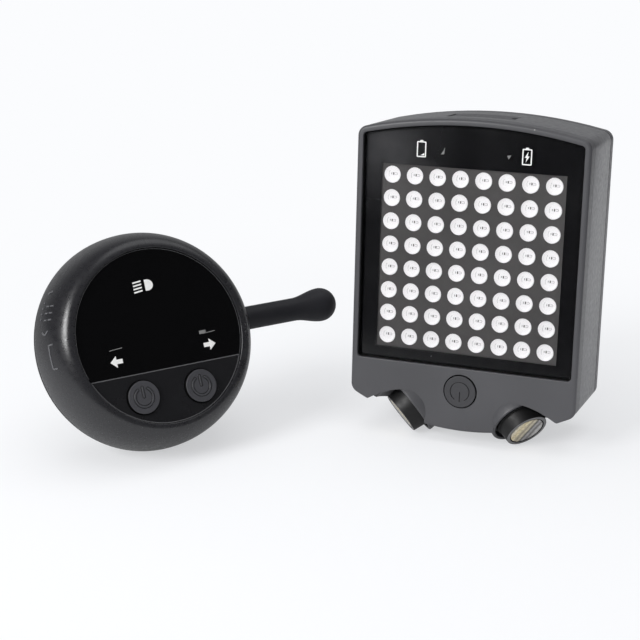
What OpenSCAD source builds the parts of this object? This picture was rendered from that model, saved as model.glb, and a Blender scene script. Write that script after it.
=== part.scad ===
// Bicycle turn signal set: a tail light with an 8 x 8 LED matrix and two lane lasers,
// and the round wireless remote that works it from the handlebar.
// Millimetres, +Z up, light facing -Y. Both stand on the plane Z = 0 and the origin is
// at the middle of the set's floor rectangle.

/* [Set] */
// Width of the set as it stands, from the remote's left side to the light's right side
set_w = 122.3; // [116:0.1:160]

/* [Light body] */
// Width of the light
light_w = 55; // [52:0.5:62]
// Height of the crown of the top arc above the matrix centre
light_top = 33.2; // [32:0.2:38]
// Drop of the bottom arc below the matrix centre
light_bottom = 40.3; // [39:0.1:44]
// Depth from the front rim to the back face
light_depth = 23.7; // [21:0.1:30]
// Radius of the top arc
top_arc_r = 118; // [80:1:160]
// Radius of the bottom arc
bottom_arc_r = 57; // [45:1:80]
// Radius of the upper corners
top_corner_r = 2.4; // [2:0.1:5]
// Radius of the lower corners
bottom_corner_r = 2.6; // [2:0.1:6]
// Rounding of the front edge
edge_round = 1.2; // [0.6:0.1:1.4]
// Wall of the rear shell
wall = 2.4; // [2.2:0.1:3]
// Thickness of the front frame
frame_t = 3.6; // [3:0.1:4.5]
// Thickness of the back cover
cover_t = 2.5; // [2.2:0.1:4]
// Width of the line between two shells
seam = 0.2; // [0.1:0.05:0.4]
// Backward lean at which the light stands
lean = 5; // [0:0.5:10]

/* [Window and matrix] */
// Height of the front rim above the LED faces
front_rim = 2; // [1.8:0.1:3]
// Width of the rim round the window
rim_w = 1.5; // [1.2:0.1:2.5]
// Drop of the window's lower edge below the matrix centre
window_bottom = 24.9; // [23.5:0.1:26]
// Thickness of the window
window_t = 1.2; // [0.8:0.1:1.4]
// Depth of the window below the rim
window_sink = 0.5; // [0.3:0.1:0.6]
// Corner radius of the window
window_corner = 0.9; // [0.6:0.1:3]
// LEDs in a row and in a column
led_rows = 8; // [4:1:8]
// Spacing of the LEDs
led_pitch = 5.5; // [5.2:0.1:5.7]
// Diameter of an LED's round face
led_face_d = 4; // [3:0.1:4.4]
// Side of an LED package
led_side = 5; // [4.6:0.1:5]
// Height of an LED from board to face
led_h = 2; // [1.8:0.1:2.6]
// Thickness of the grey mask round the LED faces
mask_t = 0.7; // [0.5:0.05:0.8]
// Thickness of a circuit board
board_t = 1.2; // [0.8:0.1:1.6]
// Space between the two boards
board_gap = 2.8; // [2.6:0.1:4]
// Height of the indicator LEDs above the matrix centre
indicator_y = 25.3; // [24.5:0.1:27]
// Place of the low battery LED
indicator_low_x = -6.6; // [-9:0.1:-4]
// Place of the charging LED
indicator_charge_x = 8.8; // [4:0.1:10]

/* [Power button] */
// Drop of the power button below the matrix centre
button_drop = 30.5; // [29.8:0.1:31]
// Radius of the button's hole
button_r = 4.1; // [3.5:0.1:4.3]
// Travel of the button
button_travel = 0.6; // [0.3:0.05:0.7]
// Clearance of a button in its hole
button_gap = 0.15; // [0.1:0.05:0.25]
// Depth of the engraved symbols
engrave = 0.25; // [0.1:0.05:0.4]

/* [Lasers] */
// Sideways place of a laser cup
laser_x = 13.3; // [13:0.1:15]
// Drop of a laser cup below the matrix centre
laser_drop = 36.8; // [36:0.1:38]
// Depth of a laser cup behind the LED faces
laser_back = 3.4; // [2.5:0.1:4]
// Angle of the laser's axis down from straight ahead
laser_tilt = 61; // [58:1:68]
// Angle of the laser's axis out to the side
laser_splay = 47; // [42:1:52]
// Radius of the round laser cup
cup_r = 7.4; // [7.2:0.1:7.8]
// Flare of the cut in front of the laser cup
cup_flare = 5; // [3:1:20]
// Radius of the barrel's flange
flange_r = 5.8; // [5.4:0.1:6]
// Radius of the barrel's front edge
barrel_front_r = 5.2; // [5:0.05:5.5]
// Length of the barrel in front of the cup
barrel_l = 3.7; // [3:0.1:4.5]
// Radius of the brass laser module
module_r = 3; // [2.5:0.1:3]

/* [Back and charging] */
// Width of the bracket rail block
rail_w = 26; // [24:0.5:30]
// Drop of the rail block's top below the matrix centre
rail_top = 8; // [4:0.5:14]
// Height of the rail block off the back cover
rail_h = 4; // [3.6:0.1:5]
// Width of the rail's slot
slot_w = 19; // [16:0.5:20]
// Width of the slot's mouth
slot_mouth = 14; // [10:0.5:15]
// Radius of a cover screw
screw_r = 1.2; // [1:0.05:1.3]
// Length of the charging cover
flap_l = 16; // [13:0.2:17]
// Width of the charging cover
flap_w = 7.2; // [6.8:0.1:8]
// Sideways place of the charging port
port_x = -0.4; // [-3:0.1:3]
// Clearance of the charging cover in its recess
flap_gap = 0.15; // [0.1:0.05:0.3]
// Thickness of the battery pack
battery_t = 7.2; // [5:0.1:7.6]

/* [Remote] */
// Radius of the remote's face
face_r = 20.3; // [19.8:0.1:21]
// Greatest radius of the remote
belly_r = 25.8; // [25:0.1:28]
// Depth of the greatest radius behind the face
belly_d = 12.2; // [11.5:0.1:12.6]
// Rounding behind the greatest radius
belly_round = 8; // [6:0.5:10]
// Depth of the remote
remote_d = 24.5; // [23.5:0.1:27]
// Taper of the flank, which is also the lean of the remote at rest
flank_taper = 24.1; // [18:0.1:28]
// Turn of the remote to its right
remote_turn = 52.5; // [30:0.5:70]
// Distance of the remote's face centre in front of the matrix centre
remote_front = 34.3; // [30:0.1:60]
// Width of the lip round the face
lip_w = 0.6; // [0.4:0.1:1]
// Height of the lip above the face
lip_h = 0.4; // [0.2:0.1:0.8]
// Thickness of the window and key plate
plate_t = 1.3; // [1:0.1:1.5]
// Depth of the window below the face plane
plate_sink = 0.15; // [0.05:0.05:0.3]
// Thickness of the deck under the window
deck_t = 1.3; // [1:0.1:1.5]
// Drop of the line between window and key plate
chord_drop = 7.7; // [6.5:0.1:8]
// Sideways place of a turn button
key_x = 7.2; // [6.5:0.1:7.8]
// Drop of a turn button
key_drop = 13.3; // [13:0.1:13.6]
// Radius of a turn button's hole
key_r = 4; // [3.5:0.1:4.2]
// Height of a turn button above the face plane
key_rise = 0.3; // [0.1:0.1:0.6]
// Travel of a turn button
key_travel = 0.5; // [0.3:0.05:0.6]
// Diameter of the coin cell
cell_d = 20; // [16:0.5:20]
// Thickness of the coin cell
cell_t = 3.2; // [2:0.1:3.2]

/* [Remote base and strap] */
// Radius of the handlebar that the saddle takes
bar_r = 12.7; // [11:0.1:15.9]
// Depth of the saddle
saddle_d = 5.6; // [5.4:0.1:6]
// Radius of the bore that takes the base's neck
neck_bore_r = 21.6; // [21.2:0.1:21.9]
// Clearance of the neck and its lugs
neck_gap = 0.3; // [0.2:0.05:0.4]
// Angle by which the base turns to unlock
twist_angle = 30; // [25:1:35]
// Depth of the strap's middle line behind the face
strap_d = 16.3; // [16.3:0.1:17]
// Height of the strap's middle line above the face centre
strap_y = 1.3; // [0:0.1:3]
// Radius of the strap
strap_r = 2.9; // [2:0.1:2.9]
// Radius of the strap's bulb
bulb_r = 4.25; // [3.5:0.05:5]
// Distance of the bulb's middle from the remote's axis
bulb_x = 51.3; // [46:0.1:60]
// Distance over which the strap swells to its bulb
bulb_swell = 7.7; // [5:0.1:12]
// Distance of the strap's pin from the remote's axis
pin_x = 21; // [20.8:0.1:21.4]
// Radius of the strap's pin
pin_r = 1; // [0.8:0.05:1.2]
// Clearance of the strap on its pin
pin_gap = 0.06; // [0.04:0.01:0.1]
// Clearance of the strap in the base
strap_gap = 0.3; // [0.3:0.05:0.5]

/* [Hidden] */
$fn = 64;
tiny = 0.01;
far = 200;
fit = 0.05;

// Layers of the light, measured forwards from the LED faces
frame_back = front_rim - frame_t;
shell_front = frame_back - seam;
back_face = front_rim - light_depth;
cover_front = back_face + cover_t;
shell_back = cover_front + seam;
window_back = front_rim - window_sink - window_t;
mask_front = 0.1;
mask_back = mask_front - mask_t;
led_board_front = -led_h;
led_board_back = led_board_front - board_t;
control_front = led_board_back - board_gap;
control_back = control_front - board_t;
pad_t = 0.6;
battery_front = control_back - pad_t;
rail_back = back_face - rail_h;

// Places inside the light
board_clear = 0.5;
board_edge = wall + board_clear;
frame_ledge = 1.2;
half_w = light_w / 2;
boss_r = 2.8;
boss_merge = 0.3;
boss_x = half_w - wall - boss_r + boss_merge;
boss_from_top = 9;
boss_high = light_top - boss_from_top;
boss_from_bottom = 20.3;
boss_low = light_bottom - boss_from_bottom;
boss_l = 10;
chip_w = 1.6;
chip_h = 1.2;
chip_t = 0.8;
control_w = 38;
control_from_top = 6.2;
control_high = light_top - control_from_top;
control_low = 22;
tongue_w = 9;
spacer_r = 1.5;
spacer_x = control_w / 2 - 3;
spacer_y = 18;
battery_w = 34;
battery_h = 36;
battery_y = -4;
battery_corner = 2;
switch_side = 6;
plunger_r = 1.7;
button_flange = 0.8;
button_flange_t = 0.6;
button_stem = 0.6;
flange_play = 0.1;
board_low = button_drop - button_r - button_flange - board_clear;
port_w = 9;
port_h = 3.2;
port_l = 7.3;
port_wall = 0.3;
port_clear = 0.2;
port_z = control_back - port_h / 2;
port_mouth = light_top - wall - port_clear;
tongue_plate_w = 6.3;
tongue_plate_t = 0.6;
recess_depth = 1.8;
recess_floor = light_top - recess_depth;
flap_x0 = port_x - flap_l / 2;
flap_x1 = port_x + flap_l / 2;
flap_end_y = light_top - top_arc_r + sqrt(top_arc_r * top_arc_r - flap_x0 * flap_x0);
knuckle_r = (flap_end_y - recess_floor - flap_gap) / 2;
hinge_x = flap_x0 + flap_gap + knuckle_r;
hinge_y = recess_floor + flap_gap + knuckle_r;
plug_h = 0.8;
plug_clear = 0.4;
finger_r = 1.3;
cup_gap = 0.3;
cup_recess_r = cup_r - 0.8;
cup_recess_d = 1.2;
sleeve_r = module_r + 1.2;
sleeve_l = 3.9;
barrel_flange_l = 1.6;
lens_t = 1;
lens_r = barrel_front_r - 0.85;
lens_sink = 0.2;
module_l = 7.5;
module_front = 1.5;
cone_l = 14;
seal_out = 0.8;
seal_in = 1.6;
seal_t = 0.7;
seal_proud = 0.1;
head_r = 2.3;
head_t = 1.3;
head_sink = 0.1;
screw_clear = 0.2;
screw_l = 6;
slot_lip = 1.2;
slot_floor = 1.2;
slot_end = 2.5;

// Height of the light's matrix centre over the floor: the cup or the barrel edge stands lowest
laser_rise = -sin(laser_tilt) * cos(laser_splay) * cos(lean) + cos(laser_tilt) * sin(lean);
laser_level = sqrt(1 - laser_rise * laser_rise);
cup_height = -laser_drop * cos(lean) - laser_back * sin(lean);
light_lift = -min(cup_height - cup_r * laser_level,
                  cup_height + barrel_l * laser_rise - barrel_front_r * laser_level);

// Outline of the remote, measured forwards from its face
lip_r = face_r + lip_w;
seam_d = 13;
base_top = -seam_d - neck_gap;
round_end = belly_d + belly_round * sin(flank_taper);
round_end_r = belly_r - belly_round * (1 - cos(flank_taper));
back_edge = 1;
pocket_r = face_r + 0.15;
deck_front = -plate_sink - plate_t;
deck_back = deck_front - deck_t;
key_flange = 0.9;
key_flange_t = 0.6;
key_stem = 0.2;
switch_play = 0.05;
key_stem_end = deck_back - flange_play - key_flange_t - key_stem;
key_plunger_top = key_stem_end - key_travel - switch_play;
key_plunger_l = 0.4;
key_switch_t = 1.8;
remote_board_front = key_plunger_top - key_plunger_l - key_switch_t;
remote_board_t = 1;
remote_board_back = remote_board_front - remote_board_t;
remote_board_r = neck_bore_r - 1;
post_r = 2.2;
post_ring = 16.5;
post_angles = [90, 205, 335];
small_screw_r = 0.9;
small_head_r = 1.8;
small_head_t = 1.1;
holder_wall = 1.7;
holder_h = cell_t + 0.4;
cell_front = remote_board_back - 0.2;
contact_t = 0.3;
contact_w = 5;
remote_led_x = 11.7;
remote_led_y = -1;
groove_front = -10.2;
groove_back = -11.7;
groove_r = neck_bore_r + 1.3;
lug_r = groove_r - neck_gap;
lug_span = 22;
entry_span = 27;
neck_r = neck_bore_r - neck_gap;
neck_wall = 2;
neck_top = groove_front - neck_gap;
cavity_r = 15.5;
saddle_floor = 1.4;
saddle_front = -remote_d + saddle_d;
gasket_in = 23;
gasket_out = 24.4;
gasket_t = 0.8;
notch_in = pin_x - strap_r - 2 * strap_gap;
notch_w = 2 * (strap_r + strap_gap) + 0.2;
catch_in = 18;
catch_d = 5;
pin_l = notch_w + 5;

function remote_r(d) =
    d <= belly_d
        ? lip_r + (belly_r - lip_r) * sqrt(max(0, 1 - pow(1 - (d + lip_h) / (belly_d + lip_h), 2)))
        : d <= round_end
            ? belly_r - belly_round + sqrt(belly_round * belly_round - (d - belly_d) * (d - belly_d))
            : round_end_r - (d - round_end) * tan(flank_taper);

front_steps = 14;
front_depths = [for (k = [0:front_steps]) (belly_d + lip_h) * (1 - cos(90 * k / front_steps)) - lip_h];
round_steps = 6;
shell_profile = concat([for (d = front_depths) [remote_r(d), -d]], [[remote_r(seam_d), -seam_d]]);
base_depths = [for (k = [0:round_steps]) -base_top + (round_end + base_top) * k / round_steps];
base_profile = concat(
    [for (d = base_depths) [remote_r(d), -d]],
    [[remote_r(remote_d - back_edge), back_edge - remote_d],
     [remote_r(remote_d - back_edge) - back_edge, -remote_d]]);
remote_profile = concat(shell_profile, base_profile);

// Where the remote stands: its flank lies along the floor
remote_lift = max([for (q = remote_profile) q[0] * cos(flank_taper) - q[1] * sin(flank_taper)]);
face_dir_x = sin(remote_turn) * cos(flank_taper);
face_dir_y = -cos(remote_turn) * cos(flank_taper);
remote_reach = max([for (q = remote_profile) q[0] * sqrt(1 - face_dir_x * face_dir_x) - q[1] * face_dir_x]);
remote_min_y = -remote_front
    + min([for (q = remote_profile) q[1] * face_dir_y - q[0] * sqrt(1 - face_dir_y * face_dir_y)]);
light_max_y = max(light_top * sin(lean) - back_face * cos(lean),
                  -rail_top * sin(lean) - rail_back * cos(lean));
light_x = set_w / 2 - half_w;
remote_x = remote_reach - set_w / 2;
light_y = -(remote_min_y + light_max_y) / 2;

// The light's own frame: x to the right, y up its face, z out of its front
module in_light() {
    translate([light_x, light_y, light_lift]) rotate([90 - lean, 0, 0]) children();
}

// The remote's own frame: x to the right, y up its face, z out of its face
module in_remote() {
    translate([remote_x, light_y - remote_front, remote_lift])
        rotate([0, 0, remote_turn]) rotate([90 - flank_taper, 0, 0]) children();
}

// A laser's own frame: origin in the middle of its cup's rim, z along the beam
module at_laser(side) {
    translate([side * laser_x, -laser_drop, -laser_back])
        rotate([0, 0, side * laser_splay]) rotate([laser_tilt, 0, 0]) children();
}

// A flat outline made solid between two depths
module slab(back, front) {
    translate([0, 0, back]) linear_extrude(front - back) children();
}

function arc(centre, r, from, to, steps) =
    [for (k = [0:steps]) let (a = from + (to - from) * k / steps)
        [centre[0] + r * cos(a), centre[1] + r * sin(a)]];

// Outline of the light's face, moved in by an inset: two arcs, two sides, four round corners
function light_outline(inset) =
    let (w = half_w - inset,
         rt = top_arc_r - inset,
         rb = bottom_arc_r - inset,
         ct = max(top_corner_r - inset, 0.4),
         cb = max(bottom_corner_r - inset, 0.4),
         yt = light_top - top_arc_r,
         yb = bottom_arc_r - light_bottom,
         corner_t = [w - ct, yt + sqrt(pow(rt - ct, 2) - pow(w - ct, 2))],
         corner_b = [w - cb, yb - sqrt(pow(rb - cb, 2) - pow(w - cb, 2))],
         at = atan2(corner_t[1] - yt, corner_t[0]),
         ab = -atan2(corner_b[1] - yb, corner_b[0]))
    concat(arc(corner_t, ct, 0, at, 8),
           arc([0, yt], rt, at + 2, 178 - at, 16),
           arc([-corner_t[0], corner_t[1]], ct, 180 - at, 180, 8),
           arc([-corner_b[0], corner_b[1]], cb, 180, 180 + ab, 8),
           arc([0, yb], rb, 182 + ab, 358 - ab, 24),
           arc(corner_b, cb, 360 - ab, 360, 8));

// Outline of the window: the same top arc and sides, and a straight lower edge
function window_outline(inset) =
    let (w = half_w - rim_w - inset,
         rt = top_arc_r - rim_w - inset,
         c = max(window_corner - inset, 0.4),
         yt = light_top - top_arc_r,
         low = -window_bottom + inset,
         corner = [w - c, yt + sqrt(pow(rt - c, 2) - pow(w - c, 2))],
         at = atan2(corner[1] - yt, corner[0]))
    concat(arc(corner, c, 0, at, 6),
           arc([0, yt], rt, at + 2, 178 - at, 16),
           arc([-corner[0], corner[1]], c, 180 - at, 180, 6),
           arc([-w + c, low + c], c, 180, 270, 6),
           arc([w - c, low + c], c, 270, 360, 6));

module rounded_box_2d(w, h, r) {
    square([w - 2 * r, h], center = true);
    square([w, h - 2 * r], center = true);
    for (x = [-1, 1], y = [-1, 1])
        translate([x * (w / 2 - r), y * (h / 2 - r)]) circle(r);
}

// Engraved power symbol, an open ring with a bar in its gap, bar towards turn
module power_symbol(size, turn) {
    line = size * 0.16;
    rotate([0, 0, turn]) {
        rotate([0, 0, 120]) rotate_extrude(angle = 300) translate([size - line / 2, -engrave])
            square([line, 2 * engrave]);
        translate([-line / 2, size * 0.35, -engrave]) cube([line, size * 0.75, 2 * engrave]);
    }
}

// Front frame: rim, chin and the two laser cups
module frame_blank() {
    hull() {
        slab(frame_back, front_rim - edge_round) polygon(light_outline(0));
        slab(frame_back, front_rim - edge_round * 0.3) polygon(light_outline(edge_round * 0.29));
        slab(frame_back, front_rim) polygon(light_outline(edge_round));
    }
}

module laser_cut() {
    cylinder(h = cone_l, r1 = cup_r, r2 = cup_r + cone_l * tan(cup_flare));
}

// Room for a cup and its beam in the walls, turned as one shape
module cup_clearance() {
    r = cup_r + cup_gap;
    rotate_extrude() polygon(concat(
        [for (a = [-90:15:0]) [r * cos(a), r * sin(a)]],
        [[r, cup_gap], [flange_r + cup_gap, cup_gap], [flange_r + cup_gap, cone_l], [0, cone_l]]));
}

module cup_body() {
    intersection() {
        sphere(cup_r);
        translate([0, 0, -cup_r]) cylinder(h = cup_r, r = cup_r + 1);
    }
}

module cup_bore() {
    translate([0, 0, -cup_recess_d]) cylinder(h = far, r = cup_recess_r);
    translate([0, 0, -sleeve_l - cup_recess_d]) cylinder(h = far, r = sleeve_r + fit);
    translate([0, 0, module_front - module_l - fit]) cylinder(h = far, r = module_r + 2 * fit);
}

module front_frame() {
    color("#626264") in_light() difference() {
        union() {
            difference() {
                frame_blank();
                slab(window_back - tiny, far) polygon(window_outline(-fit));
                slab(-far, far) polygon(window_outline(frame_ledge));
                for (side = [-1, 1]) at_laser(side) laser_cut();
            }
            for (side = [-1, 1]) at_laser(side) cup_body();
        }
        for (side = [-1, 1]) at_laser(side) cup_bore();
        translate([0, -button_drop, -far / 2]) cylinder(h = far, r = button_r);
    }
}

// Rear shell: the walls, with bosses for the screws and the recess of the charging port
module shell_bosses(r, back, front) {
    for (x = [-1, 1], y = [boss_high, -boss_low])
        translate([x * boss_x, y, back]) cylinder(h = front - back, r = r);
}

module flap_recess(gap) {
    translate([flap_x0 + gap, recess_floor + gap, port_z - flap_w / 2 + gap])
        cube([flap_l - 2 * gap, far, flap_w - 2 * gap]);
}

module port_slot(grow, from, to) {
    translate([port_x, from, port_z]) rotate([-90, 0, 0]) linear_extrude(to - from)
        rounded_box_2d(port_w + 2 * grow, port_h + 2 * grow, port_h / 2 + grow - tiny);
}

module rear_shell() {
    color("#7c7c7f") in_light() difference() {
        union() {
            slab(shell_back, shell_front) difference() {
                polygon(light_outline(0));
                polygon(light_outline(wall));
            }
            shell_bosses(boss_r, shell_back, shell_back + boss_l);
        }
        shell_bosses(screw_r + fit, shell_back - 1, shell_back + boss_l - 1);
        slab(shell_back - 1, shell_back + seal_t) difference() {
            polygon(light_outline(seal_out - fit));
            polygon(light_outline(seal_in + fit));
        }
        flap_recess(0);
        port_slot(port_clear, light_top - wall - 3, light_top + 1);
        for (side = [-1, 1]) at_laser(side) cup_clearance();
    }
}

// Back cover, with the bracket rail that also serves as the rear foot
module floor_cut() {
    rotate([lean, 0, 0]) translate([-far / 2, -light_lift - far, -far / 2]) cube([far, far, far]);
}

module rail() {
    difference() {
        translate([-rail_w / 2, -light_bottom - 3, rail_back])
            cube([rail_w, light_bottom + 3 - rail_top, rail_h + tiny]);
        translate([-slot_w / 2, -light_bottom + slot_end, rail_back + slot_lip])
            cube([slot_w, light_bottom, rail_h - slot_lip - slot_floor]);
        translate([-slot_mouth / 2, -light_bottom + slot_end, rail_back - 1])
            cube([slot_mouth, light_bottom, rail_h - slot_floor]);
        floor_cut();
    }
}

module back_cover() {
    color("#5b5b5e") in_light() difference() {
        union() {
            slab(back_face, cover_front) polygon(light_outline(0));
            rail();
        }
        shell_bosses(screw_r + screw_clear, back_face - 1, cover_front + 1);
        shell_bosses(head_r + screw_clear, back_face - 1, back_face + head_t + head_sink);
    }
}

module case_seal() {
    color("#2a2a2c") in_light() slab(shell_back - seal_proud, shell_back + seal_t - fit)
        difference() {
            polygon(light_outline(seal_out));
            polygon(light_outline(seal_in));
        }
}

module screw(r, length, head, head_h) {
    difference() {
        union() {
            translate([0, 0, -tiny]) cylinder(h = length + tiny, r = r);
            translate([0, 0, -head_h]) cylinder(h = head_h, r = head);
        }
        for (turn = [0, 90]) rotate([0, 0, turn])
            translate([-head * 0.6, -head * 0.12, -head_h - 1])
                cube([head * 1.2, head * 0.24, 1 + head_h * 0.55]);
    }
}

module cover_screws() {
    color("#b9bbbd") in_light()
        for (x = [-1, 1], y = [boss_high, -boss_low])
            translate([x * boss_x, y, back_face + head_t + head_sink])
                screw(screw_r, screw_l, head_r, head_t);
}

// Window and the LED matrix behind it
module window_panel() {
    color("#121216") in_light()
        slab(window_back, window_back + window_t) polygon(window_outline(0));
}

matrix_side = led_rows * led_pitch;

module each_led() {
    for (i = [0:led_rows - 1], j = [0:led_rows - 1])
        translate([(i - (led_rows - 1) / 2) * led_pitch, (j - (led_rows - 1) / 2) * led_pitch, 0])
            children();
}

module led_mask() {
    color("#4e4c4b") in_light() difference() {
        translate([-matrix_side / 2, -matrix_side / 2, mask_back])
            cube([matrix_side, matrix_side, mask_t]);
        each_led() translate([0, 0, mask_back - 1]) cylinder(h = mask_t + 2, r = led_face_d / 2 + fit);
    }
}

module matrix_leds() {
    color("#f0eeee") in_light() each_led() {
        translate([-led_side / 2, -led_side / 2, led_board_front])
            cube([led_side, led_side, mask_back - led_board_front]);
        translate([0, 0, led_board_front]) cylinder(h = -led_board_front, r = led_face_d / 2);
    }
}

module indicator_leds() {
    color("#d8c98a") in_light()
        for (x = [indicator_low_x, indicator_charge_x])
            translate([x - chip_w / 2, indicator_y - chip_h / 2, led_board_front])
                cube([chip_w, chip_h, chip_t]);
}

module led_board() {
    color("#1d4a2c") in_light() slab(led_board_back, led_board_front) intersection() {
        polygon(light_outline(board_edge));
        translate([-half_w, -board_low]) square([light_w, board_low + light_top]);
    }
}

module board_spacers() {
    color("#d0d0c8") in_light()
        for (x = [-1, 1], y = [-1, 1])
            translate([x * spacer_x, y * spacer_y, control_front])
                cylinder(h = board_gap, r = spacer_r);
}

module control_board() {
    color("#1d4a2c") in_light() slab(control_back, control_front) {
        translate([-control_w / 2, -control_low]) square([control_w, control_low + control_high]);
        translate([-tongue_w / 2, -button_drop - switch_side / 2 - 1])
            square([tongue_w, button_drop]);
    }
}

module battery_pad() {
    color("#3a3a3a") in_light() translate([0, battery_y, 0])
        slab(battery_front, control_back) square([battery_w - 4, battery_h - 4], center = true);
}

module battery_pack() {
    color("#8f9aa6") in_light() translate([0, battery_y, 0])
        slab(battery_front - battery_t, battery_front)
            rounded_box_2d(battery_w, battery_h, battery_corner);
}

// Charging socket and its rubber cover, which turns on its round end
module usb_socket() {
    color("#c4c6c8") in_light() difference() {
        port_slot(-tiny, port_mouth - port_l, port_mouth);
        difference() {
            port_slot(-port_wall, port_mouth - port_l + 1, light_top);
            translate([port_x - tongue_plate_w / 2, port_mouth - port_l, port_z - tongue_plate_t / 2])
                cube([tongue_plate_w, port_l - 1.5, tongue_plate_t]);
        }
    }
}

module usb_cover() {
    color("#4c4c4f") in_light() {
        difference() {
            intersection() {
                slab(-far / 2, far / 2) polygon(light_outline(0));
                flap_recess(flap_gap);
            }
            translate([flap_x1, light_top, port_z]) rotate([90, 0, 0])
                cylinder(h = 2 * recess_depth, r = finger_r, center = true);
            translate([flap_x0, recess_floor, port_z - flap_w / 2])
                cube([hinge_x - flap_x0, 2 * recess_depth, flap_w]);
        }
        translate([hinge_x, hinge_y, port_z])
            cylinder(h = flap_w - 2 * flap_gap, r = knuckle_r, center = true);
        port_slot(-plug_clear, recess_floor - plug_h, recess_floor + flap_gap + tiny);
    }
}

// Power button and its switch
module power_button() {
    color("#5a5a5d") in_light() translate([0, -button_drop, 0]) {
        cap_back = frame_back - flange_play;
        difference() {
            translate([0, 0, cap_back]) cylinder(h = front_rim - cap_back, r = button_r - button_gap);
            translate([0, 0, front_rim]) power_symbol(button_r * 0.56, 180);
        }
        translate([0, 0, cap_back - button_flange_t])
            cylinder(h = button_flange_t + tiny, r = button_r + button_flange);
        translate([0, 0, cap_back - button_flange_t - button_stem])
            cylinder(h = button_stem + tiny, r = plunger_r);
    }
}

stem_end = frame_back - flange_play - button_flange_t - button_stem;

module button_switch() {
    plunger_top = stem_end - button_travel - switch_play;
    plunger_l = 0.4;
    color("#2c2c2e") in_light() translate([0, -button_drop, 0]) {
        translate([-switch_side / 2, -switch_side / 2, control_front])
            cube([switch_side, switch_side, plunger_top - plunger_l - control_front]);
        translate([0, 0, control_front]) cylinder(h = plunger_top - control_front, r = plunger_r);
    }
}

// Lane lasers: black barrel, brass module and line lens
module laser_barrel(side) {
    color("#141416") in_light() at_laser(side) difference() {
        union() {
            translate([0, 0, -sleeve_l - cup_recess_d]) cylinder(h = sleeve_l + cup_recess_d, r = sleeve_r);
            translate([0, 0, -cup_recess_d]) cylinder(h = barrel_flange_l, r = flange_r);
            translate([0, 0, barrel_flange_l - cup_recess_d])
                cylinder(h = barrel_l - barrel_flange_l + cup_recess_d,
                         r1 = flange_r - 0.1, r2 = barrel_front_r);
        }
        translate([0, 0, -far / 2]) cylinder(h = far, r = module_r + fit);
        translate([0, 0, barrel_l - lens_sink - lens_t]) cylinder(h = far, r = lens_r + fit);
    }
}

module laser_barrel_left() { laser_barrel(-1); }
module laser_barrel_right() { laser_barrel(1); }

module laser_module(side) {
    color("#b08d3c") in_light() at_laser(side)
        translate([0, 0, module_front - module_l]) difference() {
            cylinder(h = module_l, r = module_r);
            translate([0, 0, module_l - 1]) cylinder(h = 2, r = module_r * 0.6);
        }
}

module laser_module_left() { laser_module(-1); }
module laser_module_right() { laser_module(1); }

module laser_lens(side) {
    color("#d9c48a") in_light() at_laser(side)
        translate([0, 0, barrel_l - lens_sink - lens_t]) cylinder(h = lens_t, r = lens_r);
}

module laser_lens_left() { laser_lens(-1); }
module laser_lens_right() { laser_lens(1); }

// Remote: the bun-shaped shell and its face
module each_post(r, back, front) {
    for (a = post_angles) rotate([0, 0, a]) translate([post_ring, 0, back])
        cylinder(h = front - back, r = r);
}

module each_key() {
    for (x = [-1, 1]) translate([x * key_x, -key_drop, 0]) children();
}

module ring_part(r_in, r_out, back, front, from, span) {
    rotate([0, 0, from]) translate([0, 0, back]) rotate_extrude(angle = span)
        translate([r_in, 0]) square([r_out - r_in, front - back]);
}

module remote_shell() {
    color("#2a2a2c") in_remote() difference() {
        union() {
            difference() {
                rotate_extrude() polygon(concat(
                    [[0, -seam_d]], [[0, deck_front]], [[pocket_r, deck_front]],
                    [[pocket_r, lip_h * 0.3]], shell_profile));
                translate([0, 0, deck_back - far]) cylinder(h = far, r = neck_bore_r);
            }
            each_post(post_r, remote_board_front, deck_back + tiny);
        }
        each_post(small_screw_r + fit, remote_board_front - 1, deck_back);
        each_key() translate([0, 0, deck_back - 1]) cylinder(h = deck_t + 2, r = key_r);
        for (x = [-1, 1]) translate([x * remote_led_x, remote_led_y, deck_back - 1])
            cylinder(h = deck_t + 2, r = 1);
        ring_part(neck_bore_r - 1, groove_r, groove_back, groove_front, 0, 360);
        for (k = [0:2])
            ring_part(neck_bore_r - 1, groove_r, -seam_d - 1, groove_front,
                      k * 120 + twist_angle - entry_span / 2, entry_span);
    }
}

module face_plate(upper) {
    translate([0, 0, deck_front]) linear_extrude(plate_t) intersection() {
        circle(face_r);
        translate([-face_r, upper ? fit - chord_drop : -chord_drop - 2 * face_r - fit])
            square([2 * face_r, 2 * face_r]);
    }
}

module remote_window() {
    color("#08080a") in_remote() face_plate(true);
}

module key_plate() {
    color("#212123") in_remote() difference() {
        face_plate(false);
        each_key() translate([0, 0, deck_front - 1]) cylinder(h = plate_t + 2, r = key_r);
    }
}

module turn_button(side) {
    flange_front = deck_back - flange_play;
    color("#3e3e42") in_remote() translate([side * key_x, -key_drop, 0]) {
        difference() {
            translate([0, 0, flange_front]) cylinder(h = key_rise - flange_front, r = key_r - button_gap);
            translate([0, 0, key_rise]) power_symbol(key_r * 0.58, 0);
        }
        translate([0, 0, flange_front - key_flange_t])
            cylinder(h = key_flange_t + tiny, r = key_r + key_flange);
        translate([0, 0, key_stem_end]) cylinder(h = key_stem + tiny, r = plunger_r);
    }
}

module left_button() { turn_button(-1); }
module right_button() { turn_button(1); }

module remote_board() {
    color("#1d4a2c") in_remote() difference() {
        translate([0, 0, remote_board_back]) cylinder(h = remote_board_t, r = remote_board_r);
        each_post(small_screw_r + fit, remote_board_back - 1, remote_board_front + 1);
    }
}

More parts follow.
